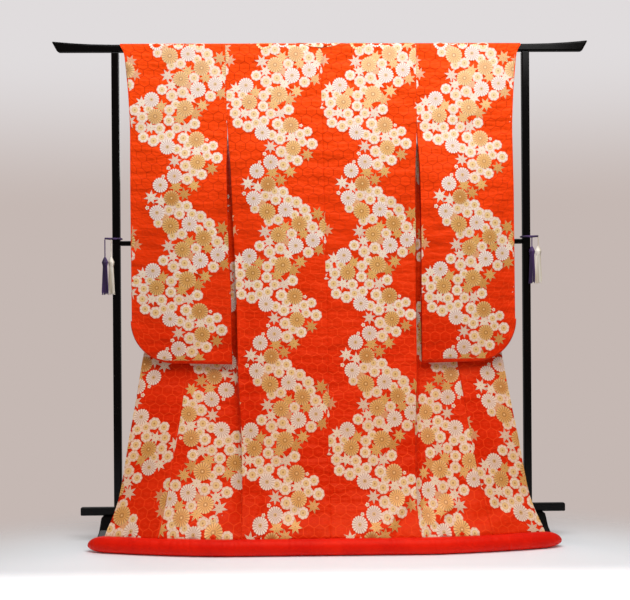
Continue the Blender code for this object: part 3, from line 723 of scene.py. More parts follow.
def damask_material(name, hexagon, ground, bright, pale, deep):
    """Silk satin damask, woven: long smooth floats glow, and a hexagon figure shows by its sheen; bright
    and pale are painted light: the ground brightened high on the robe and the figure paler low on it.
    """
    material, tree, shader = start_material(
        name, IOR=1.5, Sheen_Weight=0.05, Sheen_Roughness=0.4, Sheen_Tint=linear("#FF6A20"),
        Specular_IOR_Level=0.25, Specular_Tint=linear("#FF8A50"),
    )
    place = add_node(tree, "ShaderNodeUVMap", uv_map="cloth").outputs[0]
    cell = (1.0, math.sqrt(3), 1.0)
    half = (0.5, math.sqrt(3) / 2, 0.0)
    shift = (FIGURE_SHIFT, FIGURE_SHIFT * cell[1], 0.0)
    scaled = vectors(tree, "MULTIPLY_ADD", place, (1 / hexagon,) * 3, shift)
    first = vectors(tree, "SUBTRACT", vectors(tree, "MODULO", scaled, cell), half)
    moved = vectors(tree, "SUBTRACT", scaled, half)
    second = vectors(tree, "SUBTRACT", vectors(tree, "MODULO", moved, cell), half)
    flat = [vectors(tree, "MULTIPLY", v, (1.0, 1.0, 0.0)) for v in (first, second)]
    reach = [
        add_node(tree, "ShaderNodeVectorMath", {0: v}, operation="LENGTH").outputs["Value"] for v in flat
    ]
    nearer = maths(tree, "LESS_THAN", reach[0], reach[1])
    local = add_node(
        tree, "ShaderNodeMix", {0: nearer, 4: flat[1], 5: flat[0]}, data_type="VECTOR"
    ).outputs[1]
    parts = add_node(tree, "ShaderNodeSeparateXYZ", {0: vectors(tree, "ABSOLUTE", local)})
    slanted = maths(
        tree, "ADD", maths(tree, "MULTIPLY", parts.outputs[0], 0.5),
        maths(tree, "MULTIPLY", parts.outputs[1], math.sqrt(3) / 2),
    )
    edge = maths(tree, "MAXIMUM", parts.outputs[0], slanted)
    line = smooth_share(tree, edge, 0.448, 0.472)
    signed = add_node(tree, "ShaderNodeSeparateXYZ", {0: local})
    angle = maths(tree, "ARCTAN2", signed.outputs[1], signed.outputs[0])
    petals = maths(tree, "COSINE", maths(tree, "MULTIPLY", angle, 6.0))
    size = maths(tree, "MULTIPLY_ADD", petals, 0.055, 0.19)
    radius = maths(tree, "MINIMUM", reach[0], reach[1])
    flower = smooth_share(tree, maths(tree, "SUBTRACT", size, radius), 0.0, 0.03)
    ring = maths(tree, "MULTIPLY", smooth_share(tree, radius, 0.05, 0.07), flower)
    figure = maths(tree, "MAXIMUM", line, ring)
    spot = add_node(tree, "ShaderNodeTexCoord").outputs["Object"]
    drift = add_node(tree, "ShaderNodeTexNoise", {"Vector": spot, "Scale": 5.0, "Detail": 3.0}).outputs[0]
    mottle_and_top_light = blend_colours(tree, smooth_share(tree, drift, 0.35, 0.65), deep, ground)
    # painted light: the ground is painted oranger and brighter high on the robe, where the top light falls
    # stronger, and the figure is painted paler low on the robe, a painted sheen, and darker red higher up,
    # painted shade
    level = add_node(tree, "ShaderNodeSeparateXYZ", {0: spot}).outputs[2]
    mottle_and_top_light = blend_colours(tree, smooth_share(tree, level, 0.45, 1.65), mottle_and_top_light, bright)
    figure_sheen_and_shade = blend_colours(tree, smooth_share(tree, level, 0.75, 1.25), pale, linear("#B81C04"))
    amount = maths(
        tree, "MAXIMUM", maths(tree, "MULTIPLY", line, 0.55), maths(tree, "MULTIPLY", ring, 0.18)
    )
    figured = blend_colours(tree, amount, mottle_and_top_light, figure_sheen_and_shade)
    tree.links.new(figured, shader.inputs["Base Color"])
    gloss = maths(tree, "MULTIPLY_ADD", figure, 0.16, 0.40)
    tree.links.new(gloss, shader.inputs["Roughness"])
    # satin twill, 0.5 mm threads drawn 1.6 mm apart so that they show
    threads = add_node(
        tree, "ShaderNodeTexWave", {"Vector": place, "Scale": 1 / 0.0016 / 20, "Distortion": 0.4,
                                    "Detail": 1.0}, wave_type="BANDS", bands_direction="DIAGONAL",
    ).outputs["Fac"]
    slub = add_node(tree, "ShaderNodeTexNoise", {"Vector": place, "Scale": 220.0, "Detail": 2.0}).outputs[0]
    weave = maths(tree, "MULTIPLY_ADD", threads, 0.35, maths(tree, "MULTIPLY", slub, 0.5))
    height = maths(tree, "MULTIPLY_ADD", figure, 0.9, weave)
    bump = add_node(tree, "ShaderNodeBump", {"Strength": 0.35, "Distance": 0.0004, "Height": height})
    # soft wrinkles, 30 to 60 mm apart and longer across than down
    long = vectors(tree, "MULTIPLY", spot, (0.35, 0.35, 1.0))
    folds = add_node(tree, "ShaderNodeTexNoise", {"Vector": long, "Scale": 26.0, "Detail": 3.0}).outputs[0]
    wrinkled = add_node(
        tree, "ShaderNodeBump",
        {"Strength": 1.0, "Distance": 0.015, "Height": folds, "Normal": bump.outputs[0]},
    )
    tree.links.new(wrinkled.outputs[0], shader.inputs["Normal"])
    return material


def flower_material(name, petals, drawing, colours, **constants):
    """Figure wefts of silk or gilt thread, brocaded: raised, ribbed across, drawn petal by petal.

    drawing holds the heart's radius, the core's radius, how much of a petal its dividing line
    takes, and 1 where a vein runs to each tip; colours are two faces, line, rim, heart and core.
    """
    heart, core, divide, vein = drawing
    face, other_face, line, rim, heart_colour, core_colour = [linear(c) for c in colours]
    material, tree, shader = start_material(name, **constants)
    place = add_node(tree, "ShaderNodeUVMap", uv_map="motif").outputs[0]
    centred = vectors(tree, "MULTIPLY_ADD", place, (2.0, 2.0, 0.0), (-1.0, -1.0, 0.0))
    parts = add_node(tree, "ShaderNodeSeparateXYZ", {0: centred})
    radius = add_node(tree, "ShaderNodeVectorMath", {0: centred}, operation="LENGTH").outputs["Value"]
    angle = maths(tree, "ARCTAN2", parts.outputs[1], parts.outputs[0])
    wave = maths(tree, "ABSOLUTE", maths(tree, "SINE", maths(tree, "MULTIPLY", angle, petals / 2)))
    between = maths(tree, "SUBTRACT", 1.0, smooth_share(tree, wave, divide * 0.4, divide * 1.6))
    ray = maths(tree, "MULTIPLY", smooth_share(tree, wave, 0.94, 1.0), vein)
    outer = smooth_share(tree, radius, heart * 1.15, heart * 1.15 + 0.12)
    drawn = maths(tree, "MULTIPLY", maths(tree, "MAXIMUM", between, ray), outer)
    tone = add_node(tree, "ShaderNodeAttribute", attribute_name="tone").outputs["Fac"]
    faces = blend_colours(tree, smooth_share(tree, tone, 0.3, 0.7), face, other_face)
    paler = maths(tree, "MULTIPLY", smooth_share(tree, radius, 0.45, 1.0), 0.65)
    shaded = blend_colours(tree, paler, faces, rim)
    petal = blend_colours(tree, maths(tree, "MULTIPLY", drawn, 0.85), shaded, line)
    inner = maths(tree, "SUBTRACT", 1.0, smooth_share(tree, radius, heart - 0.03, heart + 0.03))
    hearted = blend_colours(tree, inner, petal, heart_colour)
    ring = maths(tree, "COMPARE", radius, heart, 0.035)
    ringed = blend_colours(tree, maths(tree, "MULTIPLY", ring, 0.55), hearted, line)
    middle = maths(tree, "SUBTRACT", 1.0, smooth_share(tree, radius, core * 0.8, core * 1.2))
    woven = blend_colours(tree, middle, ringed, core_colour)
    # painted light: the threads are painted lighter high on the robe, a painted highlight, and darker and
    # browner lower down, painted shade
    cloth = add_node(tree, "ShaderNodeTexCoord").outputs["Object"]
    level = add_node(tree, "ShaderNodeSeparateXYZ", {0: cloth}).outputs[2]
    painted_low_shade = vectors(tree, "MULTIPLY", woven, (0.95, 0.82, 0.70))
    shaded_low_threads = blend_colours(tree, smooth_share(tree, level, 0.35, 1.0), painted_low_shade, woven)
    top_highlight_share = maths(tree, "MULTIPLY", smooth_share(tree, level, 1.1, 1.6), 0.10)
    tree.links.new(blend_colours(tree, top_highlight_share, shaded_low_threads, linear("#FFF6EE")), shader.inputs["Base Color"])
    # weft floats, 0.4 mm apart, drawn 1.5 mm apart so that they show
    ribs = add_node(
        tree, "ShaderNodeTexWave", {"Vector": cloth, "Scale": 1 / 0.0015 / 20, "Distortion": 0.3},
        wave_type="BANDS", bands_direction="Z",
    ).outputs["Fac"]
    height = maths(tree, "SUBTRACT", maths(tree, "MULTIPLY", ribs, 0.35), drawn)
    bump = add_node(tree, "ShaderNodeBump", {"Strength": 0.5, "Distance": 0.0004, "Height": height})
    tree.links.new(bump.outputs[0], shader.inputs["Normal"])
    return material


def plain_silk_material(name, colour, deep, roughness, puckers):
    """Plain-woven or satin silk, dyed in the piece: even colour, a soft gloss and faint puckers."""
    material, tree, shader = start_material(
        name, IOR=1.5, Sheen_Weight=0.06, Sheen_Roughness=0.35, Sheen_Tint=linear("#FF5A3A"),
        Specular_IOR_Level=0.3, Specular_Tint=linear("#FF7A60"),
    )
    spot = add_node(tree, "ShaderNodeTexCoord").outputs["Object"]
    drift = add_node(tree, "ShaderNodeTexNoise", {"Vector": spot, "Scale": 9.0, "Detail": 4.0}).outputs[0]
    tint = blend_colours(tree, smooth_share(tree, drift, 0.3, 0.7), deep, colour)
    tree.links.new(tint, shader.inputs["Base Color"])
    grain = add_node(tree, "ShaderNodeTexNoise", {"Vector": spot, "Scale": 700.0, "Detail": 1.0}).outputs[0]
    tree.links.new(maths(tree, "MULTIPLY_ADD", grain, 0.15, roughness - 0.07), shader.inputs["Roughness"])
    long = vectors(tree, "MULTIPLY", spot, (1.0, 0.12, 0.12))
    pucker = add_node(tree, "ShaderNodeTexNoise", {"Vector": long, "Scale": 90.0, "Detail": 2.0}).outputs[0]
    height = maths(tree, "MULTIPLY_ADD", pucker, puckers, maths(tree, "MULTIPLY", grain, 0.1))
    bump = add_node(tree, "ShaderNodeBump", {"Strength": 0.6, "Distance": 0.004, "Height": height})
    tree.links.new(bump.outputs[0], shader.inputs["Normal"])
    return material


def lacquer_material(name, colour):
    """Black lacquer on wood, brushed and polished: near-black, glossy, with a faint unevenness."""
    material, tree, shader = start_material(name, IOR=1.5, Specular_IOR_Level=0.12)
    spot = add_node(tree, "ShaderNodeTexCoord").outputs["Object"]
    cloud = add_node(tree, "ShaderNodeTexNoise", {"Vector": spot, "Scale": 14.0, "Detail": 3.0}).outputs[0]
    tint = blend_colours(tree, cloud, colour, linear("#0A0706"))
    tree.links.new(tint, shader.inputs["Base Color"])
    fine = add_node(tree, "ShaderNodeTexNoise", {"Vector": spot, "Scale": 180.0, "Detail": 2.0}).outputs[0]
    tree.links.new(maths(tree, "MULTIPLY_ADD", fine, 0.10, 0.12), shader.inputs["Roughness"])
    bump = add_node(tree, "ShaderNodeBump", {"Strength": 0.08, "Distance": 0.001, "Height": cloud})
    tree.links.new(bump.outputs[0], shader.inputs["Normal"])
    return material


def cord_material(name, colour, deep):
    """Silk floss, spun and plied: fine slanting strands with a soft sheen."""
    material, tree, shader = start_material(
        name, IOR=1.5, Roughness=0.62, Sheen_Weight=0.5, Sheen_Roughness=0.4, Sheen_Tint=colour,
    )
    spot = add_node(tree, "ShaderNodeTexCoord").outputs["Object"]
    # plies 0.8 mm apart, drawn 2 mm apart so that they show
    hanging = vectors(tree, "MULTIPLY", spot, (1.0, 1.0, 0.08))
    strands = add_node(
        tree, "ShaderNodeTexWave", {"Vector": hanging, "Scale": 1 / 0.002 / 20, "Distortion": 1.5},
        wave_type="BANDS", bands_direction="DIAGONAL",
    ).outputs["Fac"]
    tree.links.new(blend_colours(tree, strands, deep, colour), shader.inputs["Base Color"])
    bump = add_node(tree, "ShaderNodeBump", {"Strength": 0.5, "Distance": 0.0006, "Height": strands})
    tree.links.new(bump.outputs[0], shader.inputs["Normal"])
    return material


def paper_sweep_material(name):
    """Matt paper, rolled out: pale and even, bright in front, and lost in the room further off."""
    material, tree, shader = start_material(name, Roughness=0.8, Emission_Color=linear("#FFFFFF"))
    spot = add_node(tree, "ShaderNodeTexCoord").outputs["Object"]
    cloud = add_node(tree, "ShaderNodeTexNoise", {"Vector": spot, "Scale": 2.0, "Detail": 3.0}).outputs[0]
    tint = blend_colours(tree, cloud, linear("#F0F3F6"), linear("#F6F9FC"))
    tree.links.new(tint, shader.inputs["Base Color"])
    # it ends in a soft edge round a point a metre in front of the stand
    away = vectors(tree, "MULTIPLY_ADD", spot, (1.0, 1.0, 0.0), (0.0, 1.0, 0.0))
    reach = add_node(tree, "ShaderNodeVectorMath", {0: away}, operation="LENGTH").outputs["Value"]
    tree.links.new(smooth_share(tree, reach, 1.95, 1.05), shader.inputs["Alpha"])
    # the glow in front is only seen, and lights nothing
    depth = add_node(tree, "ShaderNodeSeparateXYZ", {0: spot}).outputs[1]
    seen = add_node(tree, "ShaderNodeLightPath").outputs["Is Camera Ray"]
    front = maths(tree, "MULTIPLY", smooth_share(tree, depth, -0.34, -0.58), seen)
    tree.links.new(maths(tree, "MULTIPLY", front, 0.5), shader.inputs["Emission Strength"])
    return material


def studio_world(name):
    """The room: a grey wall that is seen, paler towards its top, and an even light from all round."""
    world = bpy.data.worlds.new(name)
    world.use_nodes = True
    tree = world.node_tree
    seen = add_node(tree, "ShaderNodeLightPath").outputs["Is Camera Ray"]
    way = add_node(tree, "ShaderNodeTexCoord").outputs["Object"]
    up = add_node(tree, "ShaderNodeSeparateXYZ", {0: way}).outputs[2]
    wall = blend_colours(tree, smooth_share(tree, up, 0.07, 0.20), linear("#C5B8B3"), linear("#E0DCDD"))
    room = blend_colours(tree, seen, linear("#767372"), wall)
    tree.links.new(room, tree.nodes["Background"].inputs["Color"])
    return world


def clear_selection():
    """Leave nothing selected, because an operator acts on all that is."""
    for item in bpy.context.selected_objects:
        item.select_set(False)


def piece_from(name, mesh):
    """Link a mesh as a piece that stands at the origin and moves with the robe's one body."""
    piece = bpy.data.objects.new(name, mesh)
    bpy.context.scene.collection.objects.link(piece)
    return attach(piece, "root") or piece


def cloth_piece(name, points, places, outward, materials):
    """A grid of points as a cloth with its own wall; places are its flat u and v in metres."""
    rows, columns = len(points), len(points[0])
    mesh = bpy.data.meshes.new(name)
    quads = []
    for i in range(rows - 1):
        for j in range(columns - 1):
            first, second = i * columns + j, (i + 1) * columns + j
            quad = [first, first + 1, second + 1, second]
            quads.append(quad if outward else quad[::-1])
    mesh.from_pydata([p for row in points for p in row], [], quads)
    layer = mesh.uv_layers.new(name="cloth")
    flat = [p for row in places for p in row]
    for loop in mesh.loops:
        layer.data[loop.index].uv = flat[loop.vertex_index]
    for material in materials:
        mesh.materials.append(material)
    mesh.shade_smooth()
    piece = piece_from(name, mesh)
    wall = piece.modifiers.new("wall", "SOLIDIFY")
    wall.thickness = bpy.context.scene.uchikake_robe.wall
    wall.offset = 0.0
    wall.material_offset = 1
    wall.material_offset_rim = 0
    return piece


def band_at(v):
    """Centre and half width of the band of flowers at a height of the repeat."""
    share = (v / REPEAT) % 1.0
    first, second = next(pair for pair in zip(BAND, BAND[1:]) if share <= pair[1][0])
    t = ease(share, first[0], second[0])
    return tuple(a + (b - a) * t for a, b in zip(first[1:], second[1:]))


def apart(first, second):
    """Distance between two places on the cloth, round the repeat."""
    du = abs(first[0] - second[0]) % LOOM
    dv = abs(first[1] - second[1]) % REPEAT
    return math.hypot(min(du, LOOM - du), min(dv, REPEAT - dv))


def plan_flowers(seed):
    """Scatter one repeat's flowers along its band, larger ones first, each in a free place."""
    chance = random.Random(seed)
    planned = []
    for kind, least, greatest, most, tries, free, inner, outer, lift in FLOWERS:
        made = 0
        for _ in range(tries):
            v = chance.uniform(0.0, REPEAT)
            radius = chance.uniform(least, greatest)
            centre, half = band_at(v)
            u = centre + chance.uniform(inner, outer) * (half - BAND_MARGIN * radius)
            if made < most and all(
                apart((u, v), (other[1], other[2])) > free * (radius + other[3]) for other in planned
            ):
                over = lift + OVERLAY * (made % OVERLAY_LEVELS)
                turn = chance.uniform(0, 2 * math.pi)
                made += 1
                planned.append((kind, u, v, radius, turn, chance.random(), over))
    return planned


PLAN = plan_flowers(11)


def flower_shape(petals, notch, shoulder):
    """Points of a flower of unit size, as x, y and rise, and its faces: heart, ring, outline."""
    points = [(0.0, 0.0, 1.0)]
    faces = []
    for i in range(petals):
        angle = 2 * math.pi * i / petals
        points.append((shoulder * math.cos(angle), shoulder * math.sin(angle), 1.0))
    for i in range(2 * petals):
        angle = math.pi * i / petals
        reach = 1.0 if i % 2 else notch
        points.append((reach * math.cos(angle), reach * math.sin(angle), 0.0))
    for i in range(petals):
        inner, after = 1 + i, 1 + (i + 1) % petals
        low, tip = 1 + petals + 2 * i, 2 + petals + 2 * i
        end = 1 + petals + (2 * i + 2) % (2 * petals)
        faces += [(0, inner, after), (inner, low, tip), (inner, tip, after), (after, tip, end)]
    return points, faces


SHAPES = {
    "gold_chrysanthemum": flower_shape(18, 0.91, 0.78),
    "white_chrysanthemum": flower_shape(18, 0.90, 0.78),
    "blossom": flower_shape(8, 0.92, 0.78),
    "bud": flower_shape(5, 0.74, 0.50),
    "gold_leaf": flower_shape(7, 0.45, 0.34),
    "pale_leaf": flower_shape(7, 0.43, 0.32),
    "peach_leaf": flower_shape(7, 0.45, 0.34),
}
KINDS = list(SHAPES)


def outward_offset(surface, u, s, sign):
    """A surface's point and its unit normal, on the side that shows."""
    here = Vector(surface(u, s))
    across = Vector(surface(u + SURFACE_STEP, s)) - here
    along = Vector(surface(u, s + SURFACE_STEP)) - here
    return here, across.cross(along).normalized() * sign


FLOWER_FINISHES = {
    # petals; heart, core, dividing line, vein; faces, line, rim, heart, core; metallic, roughness
    "gilt_thread_chrysanthemum": (
        18, (0.26, 0.09, 0.40, 0.0),
        ("#D38E40", "#E2A656", "#9A602A", "#EBC284", "#C6883E", "#F0D09A"), 0.15, 0.45),
    "white_silk_chrysanthemum": (
        18, (0.24, 0.12, 0.40, 0.0),
        ("#EAD6C8", "#DEC6B8", "#B47670", "#F5E6DA", "#E8C48A", "#A8743A"), 0.0, 0.5),
    "white_silk_blossom": (
        8, (0.50, 0.15, 0.20, 0.0),
        ("#F4E2D2", "#EED6C4", "#C88C6E", "#E6C0A8", "#E8C284", "#B47E3E"), 0.0, 0.5),
    "white_silk_bud": (
        5, (0.42, 0.2, 0.2, 0.0),
        ("#F0D8C8", "#EBC7B2", "#D79C86", "#F4E6DC", "#E8C48C", "#CFA45C"), 0.0, 0.5),
    "gilt_thread_leaf": (
        7, (0.05, 0.03, 0.10, 0.8),
        ("#D99848", "#E6AE5E", "#9E662A", "#F6DCAC", "#B87A36", "#9E662A"), 0.15, 0.45),
    "white_silk_leaf": (
        7, (0.05, 0.03, 0.12, 0.7),
        ("#F2DEC8", "#E2C4AE", "#BE8C70", "#FBF0E4", "#D8AE84", "#BE8C70"), 0.0, 0.5),
    "peach_silk_leaf": (
        7, (0.05, 0.03, 0.10, 0.7),
        ("#E6AC76", "#DC9868", "#BE6A42", "#F4D0A6", "#D08450", "#BE6A42"), 0.05, 0.5),
}


def woven_flower_materials():
    """The figure wefts, one for each of SHAPES in its order, made once and shared."""
    if "gilt_thread_chrysanthemum" in bpy.data.materials:
        return [bpy.data.materials[name] for name in FLOWER_FINISHES]
    return [
        flower_material(
            name, petals, drawing, colours, Metallic=metallic, Roughness=roughness,
            IOR=1.5, Sheen_Weight=0.1, Sheen_Roughness=0.4,
        )
        for name, (petals, drawing, colours, metallic, roughness) in FLOWER_FINISHES.items()
    ]


def turned(x, y, angle):
    """A place in a plane, turned about the origin."""
    return (
        x * math.cos(angle) - y * math.sin(angle),
        x * math.sin(angle) + y * math.cos(angle),
    )


def flowers_near(limits, reach, origin, direction):
    """Each flower of the repeats that touches a cloth: kind, u, s, radius, turn, tone and lift."""
    ends = [(s - origin[1]) * direction[1] for s in reach]
    repeats = range(math.floor(min(ends) / REPEAT) - 1, math.ceil(max(ends) / REPEAT) + 1)
    for along in repeats:
        for across in (-1, 0, 1):
            for kind, a, b, radius, *rest in PLAN:
                u = origin[0] + direction[0] * (a + across * LOOM)
                s = origin[1] + direction[1] * (b + along * REPEAT)
                low, high = limits(clamp(s, *reach))
                beside = low - radius <= u <= high + radius
                if beside and reach[0] - radius <= s <= reach[1] + radius:
                    yield kind, u, s, radius, *rest


def place_flower(surface, limits, reach, sign, flower):
    """A flower's points on its cloth, their places in its drawing, and the edge each falls past."""
    kind, u0, s0, radius, turn, _, lift = flower
    base = bpy.context.scene.uchikake_robe.wall / 2 + lift
    verts, marks, outside = [], [], []
    for x, y, rise in SHAPES[kind][0]:
        du, ds = turned(x, y, turn)
        s = clamp(s0 + radius * ds, *reach)
        low, high = limits(s)
        u = u0 + radius * du
        outside.append(-1 if u < low else 1 if u > high else 0)
        u = clamp(u, low, high)
        point, normal = outward_offset(surface, u, s, sign)
        verts.append(point + normal * (base + FLOAT_RISE * rise))
        mark = turned((u - u0) / radius, (s - s0) / radius, -turn)
        marks.append((0.5 + 0.5 * mark[0], 0.5 + 0.5 * mark[1]))
    return verts, marks, outside


def weave_flowers(name, surface, limits, reach, origin, direction, sign):
    """Lay the repeat's flowers over a cloth, cut off at its edges.

    origin is the u and s where the repeat starts, direction which way u and s run from it, and
    sign is 1 where the side that shows lies along the surface's own normal.
    """
    verts, faces, marks, tones, uses = [], [], [], [], []
    for flower in flowers_near(limits, reach, origin, direction):
        kind, tone = flower[0], flower[5]
        start = len(verts)
        points, drawn, outside = place_flower(surface, limits, reach, sign, flower)
        verts += points
        marks += drawn
        tones += [tone] * len(points)
        for triangle in SHAPES[kind][1]:
            # a face that lies wholly past one edge is cut off
            if abs(sum(outside[i] for i in triangle)) < 3:
                faces.append([start + i for i in triangle])
                uses.append(KINDS.index(kind))
    mesh = bpy.data.meshes.new(name)
    mesh.from_pydata(verts, [], faces)
    layer = mesh.uv_layers.new(name="motif")
    for loop in mesh.loops:
        layer.data[loop.index].uv = marks[loop.vertex_index]
    mesh.attributes.new("tone", "FLOAT", "POINT").data.foreach_set("value", tones)
    for material in woven_flower_materials():
        mesh.materials.append(material)
    mesh.polygons.foreach_set("material_index", uses)
    work = bmesh.new()
    work.from_mesh(mesh)
    bmesh.ops.dissolve_degenerate(work, dist=MERGE_FLOWERS, edges=work.edges)
    if sign < 0:
        bmesh.ops.reverse_faces(work, faces=work.faces)
    work.to_mesh(mesh)
    work.free()
    mesh.shade_smooth()
    return piece_from(name, mesh)


def robe_silk():
    """The robe's ground and lining, made once and shared."""
    robe = bpy.context.scene.uchikake_robe
    if "red_silk_damask" not in bpy.data.materials:
        # glow and figure are painted light: the ground painted brighter high on the robe, the figure
        # painted paler low on it
        damask_material(
            "red_silk_damask", robe.hexagon,
            *[tuple(colour) for colour in (robe.ground, robe.glow, robe.figure, robe.shade)],
        )
        plain_silk_material(
            "red_silk_lining", tuple(robe.lining), tuple(robe.lining_shade), roughness=0.55, puckers=0.3
        )
    return [bpy.data.materials["red_silk_damask"], bpy.data.materials["red_silk_lining"]]


def distances(start, end, step):
    """Distances along the cloth from start to end, closer together over the bar's fold."""
    turns = [d for d in (-FOLD_RUN, -FOLD_FLAT, FOLD_FLAT, FOLD_RUN) if start < d < end]
    edges = [start, *turns, end]
    result = [start]
    for first, second in zip(edges, edges[1:]):
        fine = step if second - first > SHORT_STRETCH else FOLD_STEP
        count = max(1, round((second - first) / fine))
        result += [first + (second - first) * i / count for i in range(1, count + 1)]
    return result


def shares(count, fine=(0.004, 0.012, 0.022)):
    """Shares across a panel, closer together beside its two seams."""
    inner = spread(0.0, 1.0, count)[1:-1]
    inner = [t for t in inner if fine[-1] < t < 1 - fine[-1]]
    return [0.0, *fine, *inner, *[1 - t for t in reversed(fine)], 1.0]


def body_cloth(name, side, start, end):
    """A stretch of one body length, from start to end along the cloth."""
    points, places = [], []
    for s in distances(start, end, ROW_STEP):
        low, high = body_limits(s)
        widths = [high + (low - high) * t for t in shares(COLUMNS)]
        points.append([body_surface(side, u, s) for u in widths])
        places.append([(u, s + FIGURE_ALONG) for u in widths])
    return cloth_piece(name, points, places, side > 0, robe_silk())


def hem_distance(height):
    """Distance along the cloth from the bar's top to a height."""
    return FOLD_RUN + FOLD_LOW - height


def cloth_area(piece):
    """Area of a cloth's one face, before it is given its wall."""
    return sum(face.area for face in piece.data.polygons)


def sleeve_limits(s):
    """Inner and outer u of a sleeve panel at s, inside its rounded corner."""
    height = FOLD_LOW - max(0.0, abs(s) - FOLD_RUN)
    span = sleeve_span(height)
    drop = height - SLEEVE_BOTTOM
    if drop >= SLEEVE_CORNER:
        return 0.0, span
    reach = math.sqrt(max(0.0, SLEEVE_CORNER**2 - (SLEEVE_CORNER - drop) ** 2))
    return 0.0, span * (SLEEVE_WIDTH - SLEEVE_CORNER + reach) / SLEEVE_WIDTH


def sleeve_place(side, across, kind, layer, value):
    """A point of the sleeve's tube: on a layer, on the fold over the bar, or round the hem."""
    floor = sleeve_floor(across)
    if kind == "fold":
        y, z = over_bar(value)
        return sleeve_point(side, across, FOLD_LOW, -1)[0], y + DEPTH_SHIFT, z
    if kind == "layer":
        x, y, z = sleeve_point(side, across, floor + (FOLD_LOW - floor) * value, layer)
        return x, y + DEPTH_SHIFT, z
    slope = math.asin(max(0.0, across * SLEEVE_WIDTH - SLEEVE_WIDTH + SLEEVE_CORNER) / SLEEVE_CORNER)
    x, near, z = sleeve_point(side, across, floor, -1)
    far = sleeve_point(side, across, floor, 1)[1]
    half, angle = (far - near) / 2, math.radians(value)
    out = half * math.cos(angle)
    y = (near + far) / 2 + half * math.sin(angle)
    return x + side * out * math.sin(slope), y + DEPTH_SHIFT, z - out * math.cos(slope)


def finish_cloth(cloth, flowers, nodes, flat, rests_on, **measured):
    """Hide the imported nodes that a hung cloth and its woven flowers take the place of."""
    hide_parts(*nodes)


def collar_surface(points, runs, u, s):
    """A point of the collar between the points of its grid, whose rows lie at runs."""
    row = min(bisect.bisect_right(runs, s), len(runs) - 1) - 1
    across = u / COLLAR_WIDTH * (COLLAR_COLUMNS - 1)
    column = clamp(int(across), 0, COLLAR_COLUMNS - 2)
    t, w = (s - runs[row]) / (runs[row + 1] - runs[row]), across - column
    first, second = points[row], points[row + 1]
    ends = [Vector(p[column]).lerp(Vector(p[column + 1]), w) for p in (first, second)]
    return tuple(ends[0].lerp(ends[1], t))


def roll_radius(x):
    """The hem roll's radius, closing to a rounded point at each tip, a little uneven between."""
    left = (ROLL_TIP_X - abs(x)) / ROLL_TAPER
    full = ROLL_RADIUS * (1 + 0.006 * math.sin(23 * x) + 0.005 * math.sin(51 * x + 1.3))
    for seam in (0.0, SIDE_SEAM_X, OVERLAP_SEAM_X):
        full -= ROLL_DIP_DEPTH * math.exp(-((abs(x) - seam) / ROLL_DIP) ** 2)
    if left >= 1:
        return full
    return full * math.sqrt(max(0.0, 1 - (1 - left) ** 2))


def roll_places():
    """Places along the hem roll, closer together beside its seams and towards its tips."""
    inner = spread(0.0, ROLL_TIP_X - ROLL_TAPER, ROLL_COLUMNS)
    beside = [s + d for s in (SIDE_SEAM_X, OVERLAP_SEAM_X) for d in (-ROLL_DIP, 0.0, ROLL_DIP)]
    inner = sorted(set(inner + beside + [ROLL_DIP]))
    tip = [
        ROLL_TIP_X - ROLL_TAPER * (1 - math.sin(math.pi / 2 * i / ROLL_TIP_COLUMNS))
        for i in range(1, ROLL_TIP_COLUMNS)
    ]
    half = inner + tip
    return [-x for x in reversed(half)] + half[1:]


def roll_ring(x):
    """Points round the hem roll at x: a little wider than high, and flat where it lies down."""
    radius = roll_radius(x)
    centre = ROLL_HEIGHT - ROLL_SAG * (ROLL_RADIUS - radius)
    ring = []
    for i in range(ROLL_SIDES):
        angle = 2 * math.pi * i / ROLL_SIDES
        wide = 1 + ROLL_SQUASH * math.cos(angle) ** 2
        z = max(0.0, centre + radius * math.sin(angle))
        y = roll_y(x) + DEPTH_SHIFT + radius * wide * math.cos(angle) * ROLL_EVENNESS
        ring.append((x, y, z))
    return ring


class RobeSettings(bpy.types.PropertyGroup):
    """Sizes and colours of the robe's silks."""
    wall: bpy.props.FloatProperty(
        name="Cloth wall", description="Thickness of the cloth with its lining", default=CLOTH_WALL,
        min=0.0005, max=0.003, precision=4, unit="LENGTH")
    hexagon: bpy.props.FloatProperty(
        name="Hexagon", description="Width of a hexagon of the damask's figure", default=HEXAGON,
        min=0.01, max=0.1, precision=4, unit="LENGTH")
    ground: bpy.props.FloatVectorProperty(
        name="Ground", description="Colour of the damask ground", size=4, subtype="COLOR",
        default=linear("#E22C0A"), min=0.0, max=1.0)
    # painted light: the ground's colour as painted brighter by the top light, high on the robe
    glow: bpy.props.FloatVectorProperty(
        name="Glow", description="Colour of the damask ground high on the robe", size=4,
        subtype="COLOR", default=linear("#F6480E"), min=0.0, max=1.0)
    # painted sheen: the figure's colour as painted paler low on the robe
    figure: bpy.props.FloatVectorProperty(
        name="Figure", description="Colour of the damask's hexagon figure", size=4, subtype="COLOR",
        default=linear("#F4481C"), min=0.0, max=1.0)
    shade: bpy.props.FloatVectorProperty(
        name="Shade", description="Deeper tone that the ground drifts to", size=4, subtype="COLOR",
        default=linear("#D62204"), min=0.0, max=1.0)
    lining: bpy.props.FloatVectorProperty(
        name="Lining", description="Colour of the plain silk lining", size=4, subtype="COLOR",
        default=linear("#C81808"), min=0.0, max=1.0)
    lining_shade: bpy.props.FloatVectorProperty(
        name="Lining shade", description="Deeper tone of the lining", size=4, subtype="COLOR",
        default=linear("#A81006"), min=0.0, max=1.0)
    hem: bpy.props.FloatVectorProperty(
        name="Hem roll", description="Colour of the padded hem", size=4, subtype="COLOR",
        default=linear("#F0200C"), min=0.0, max=1.0)


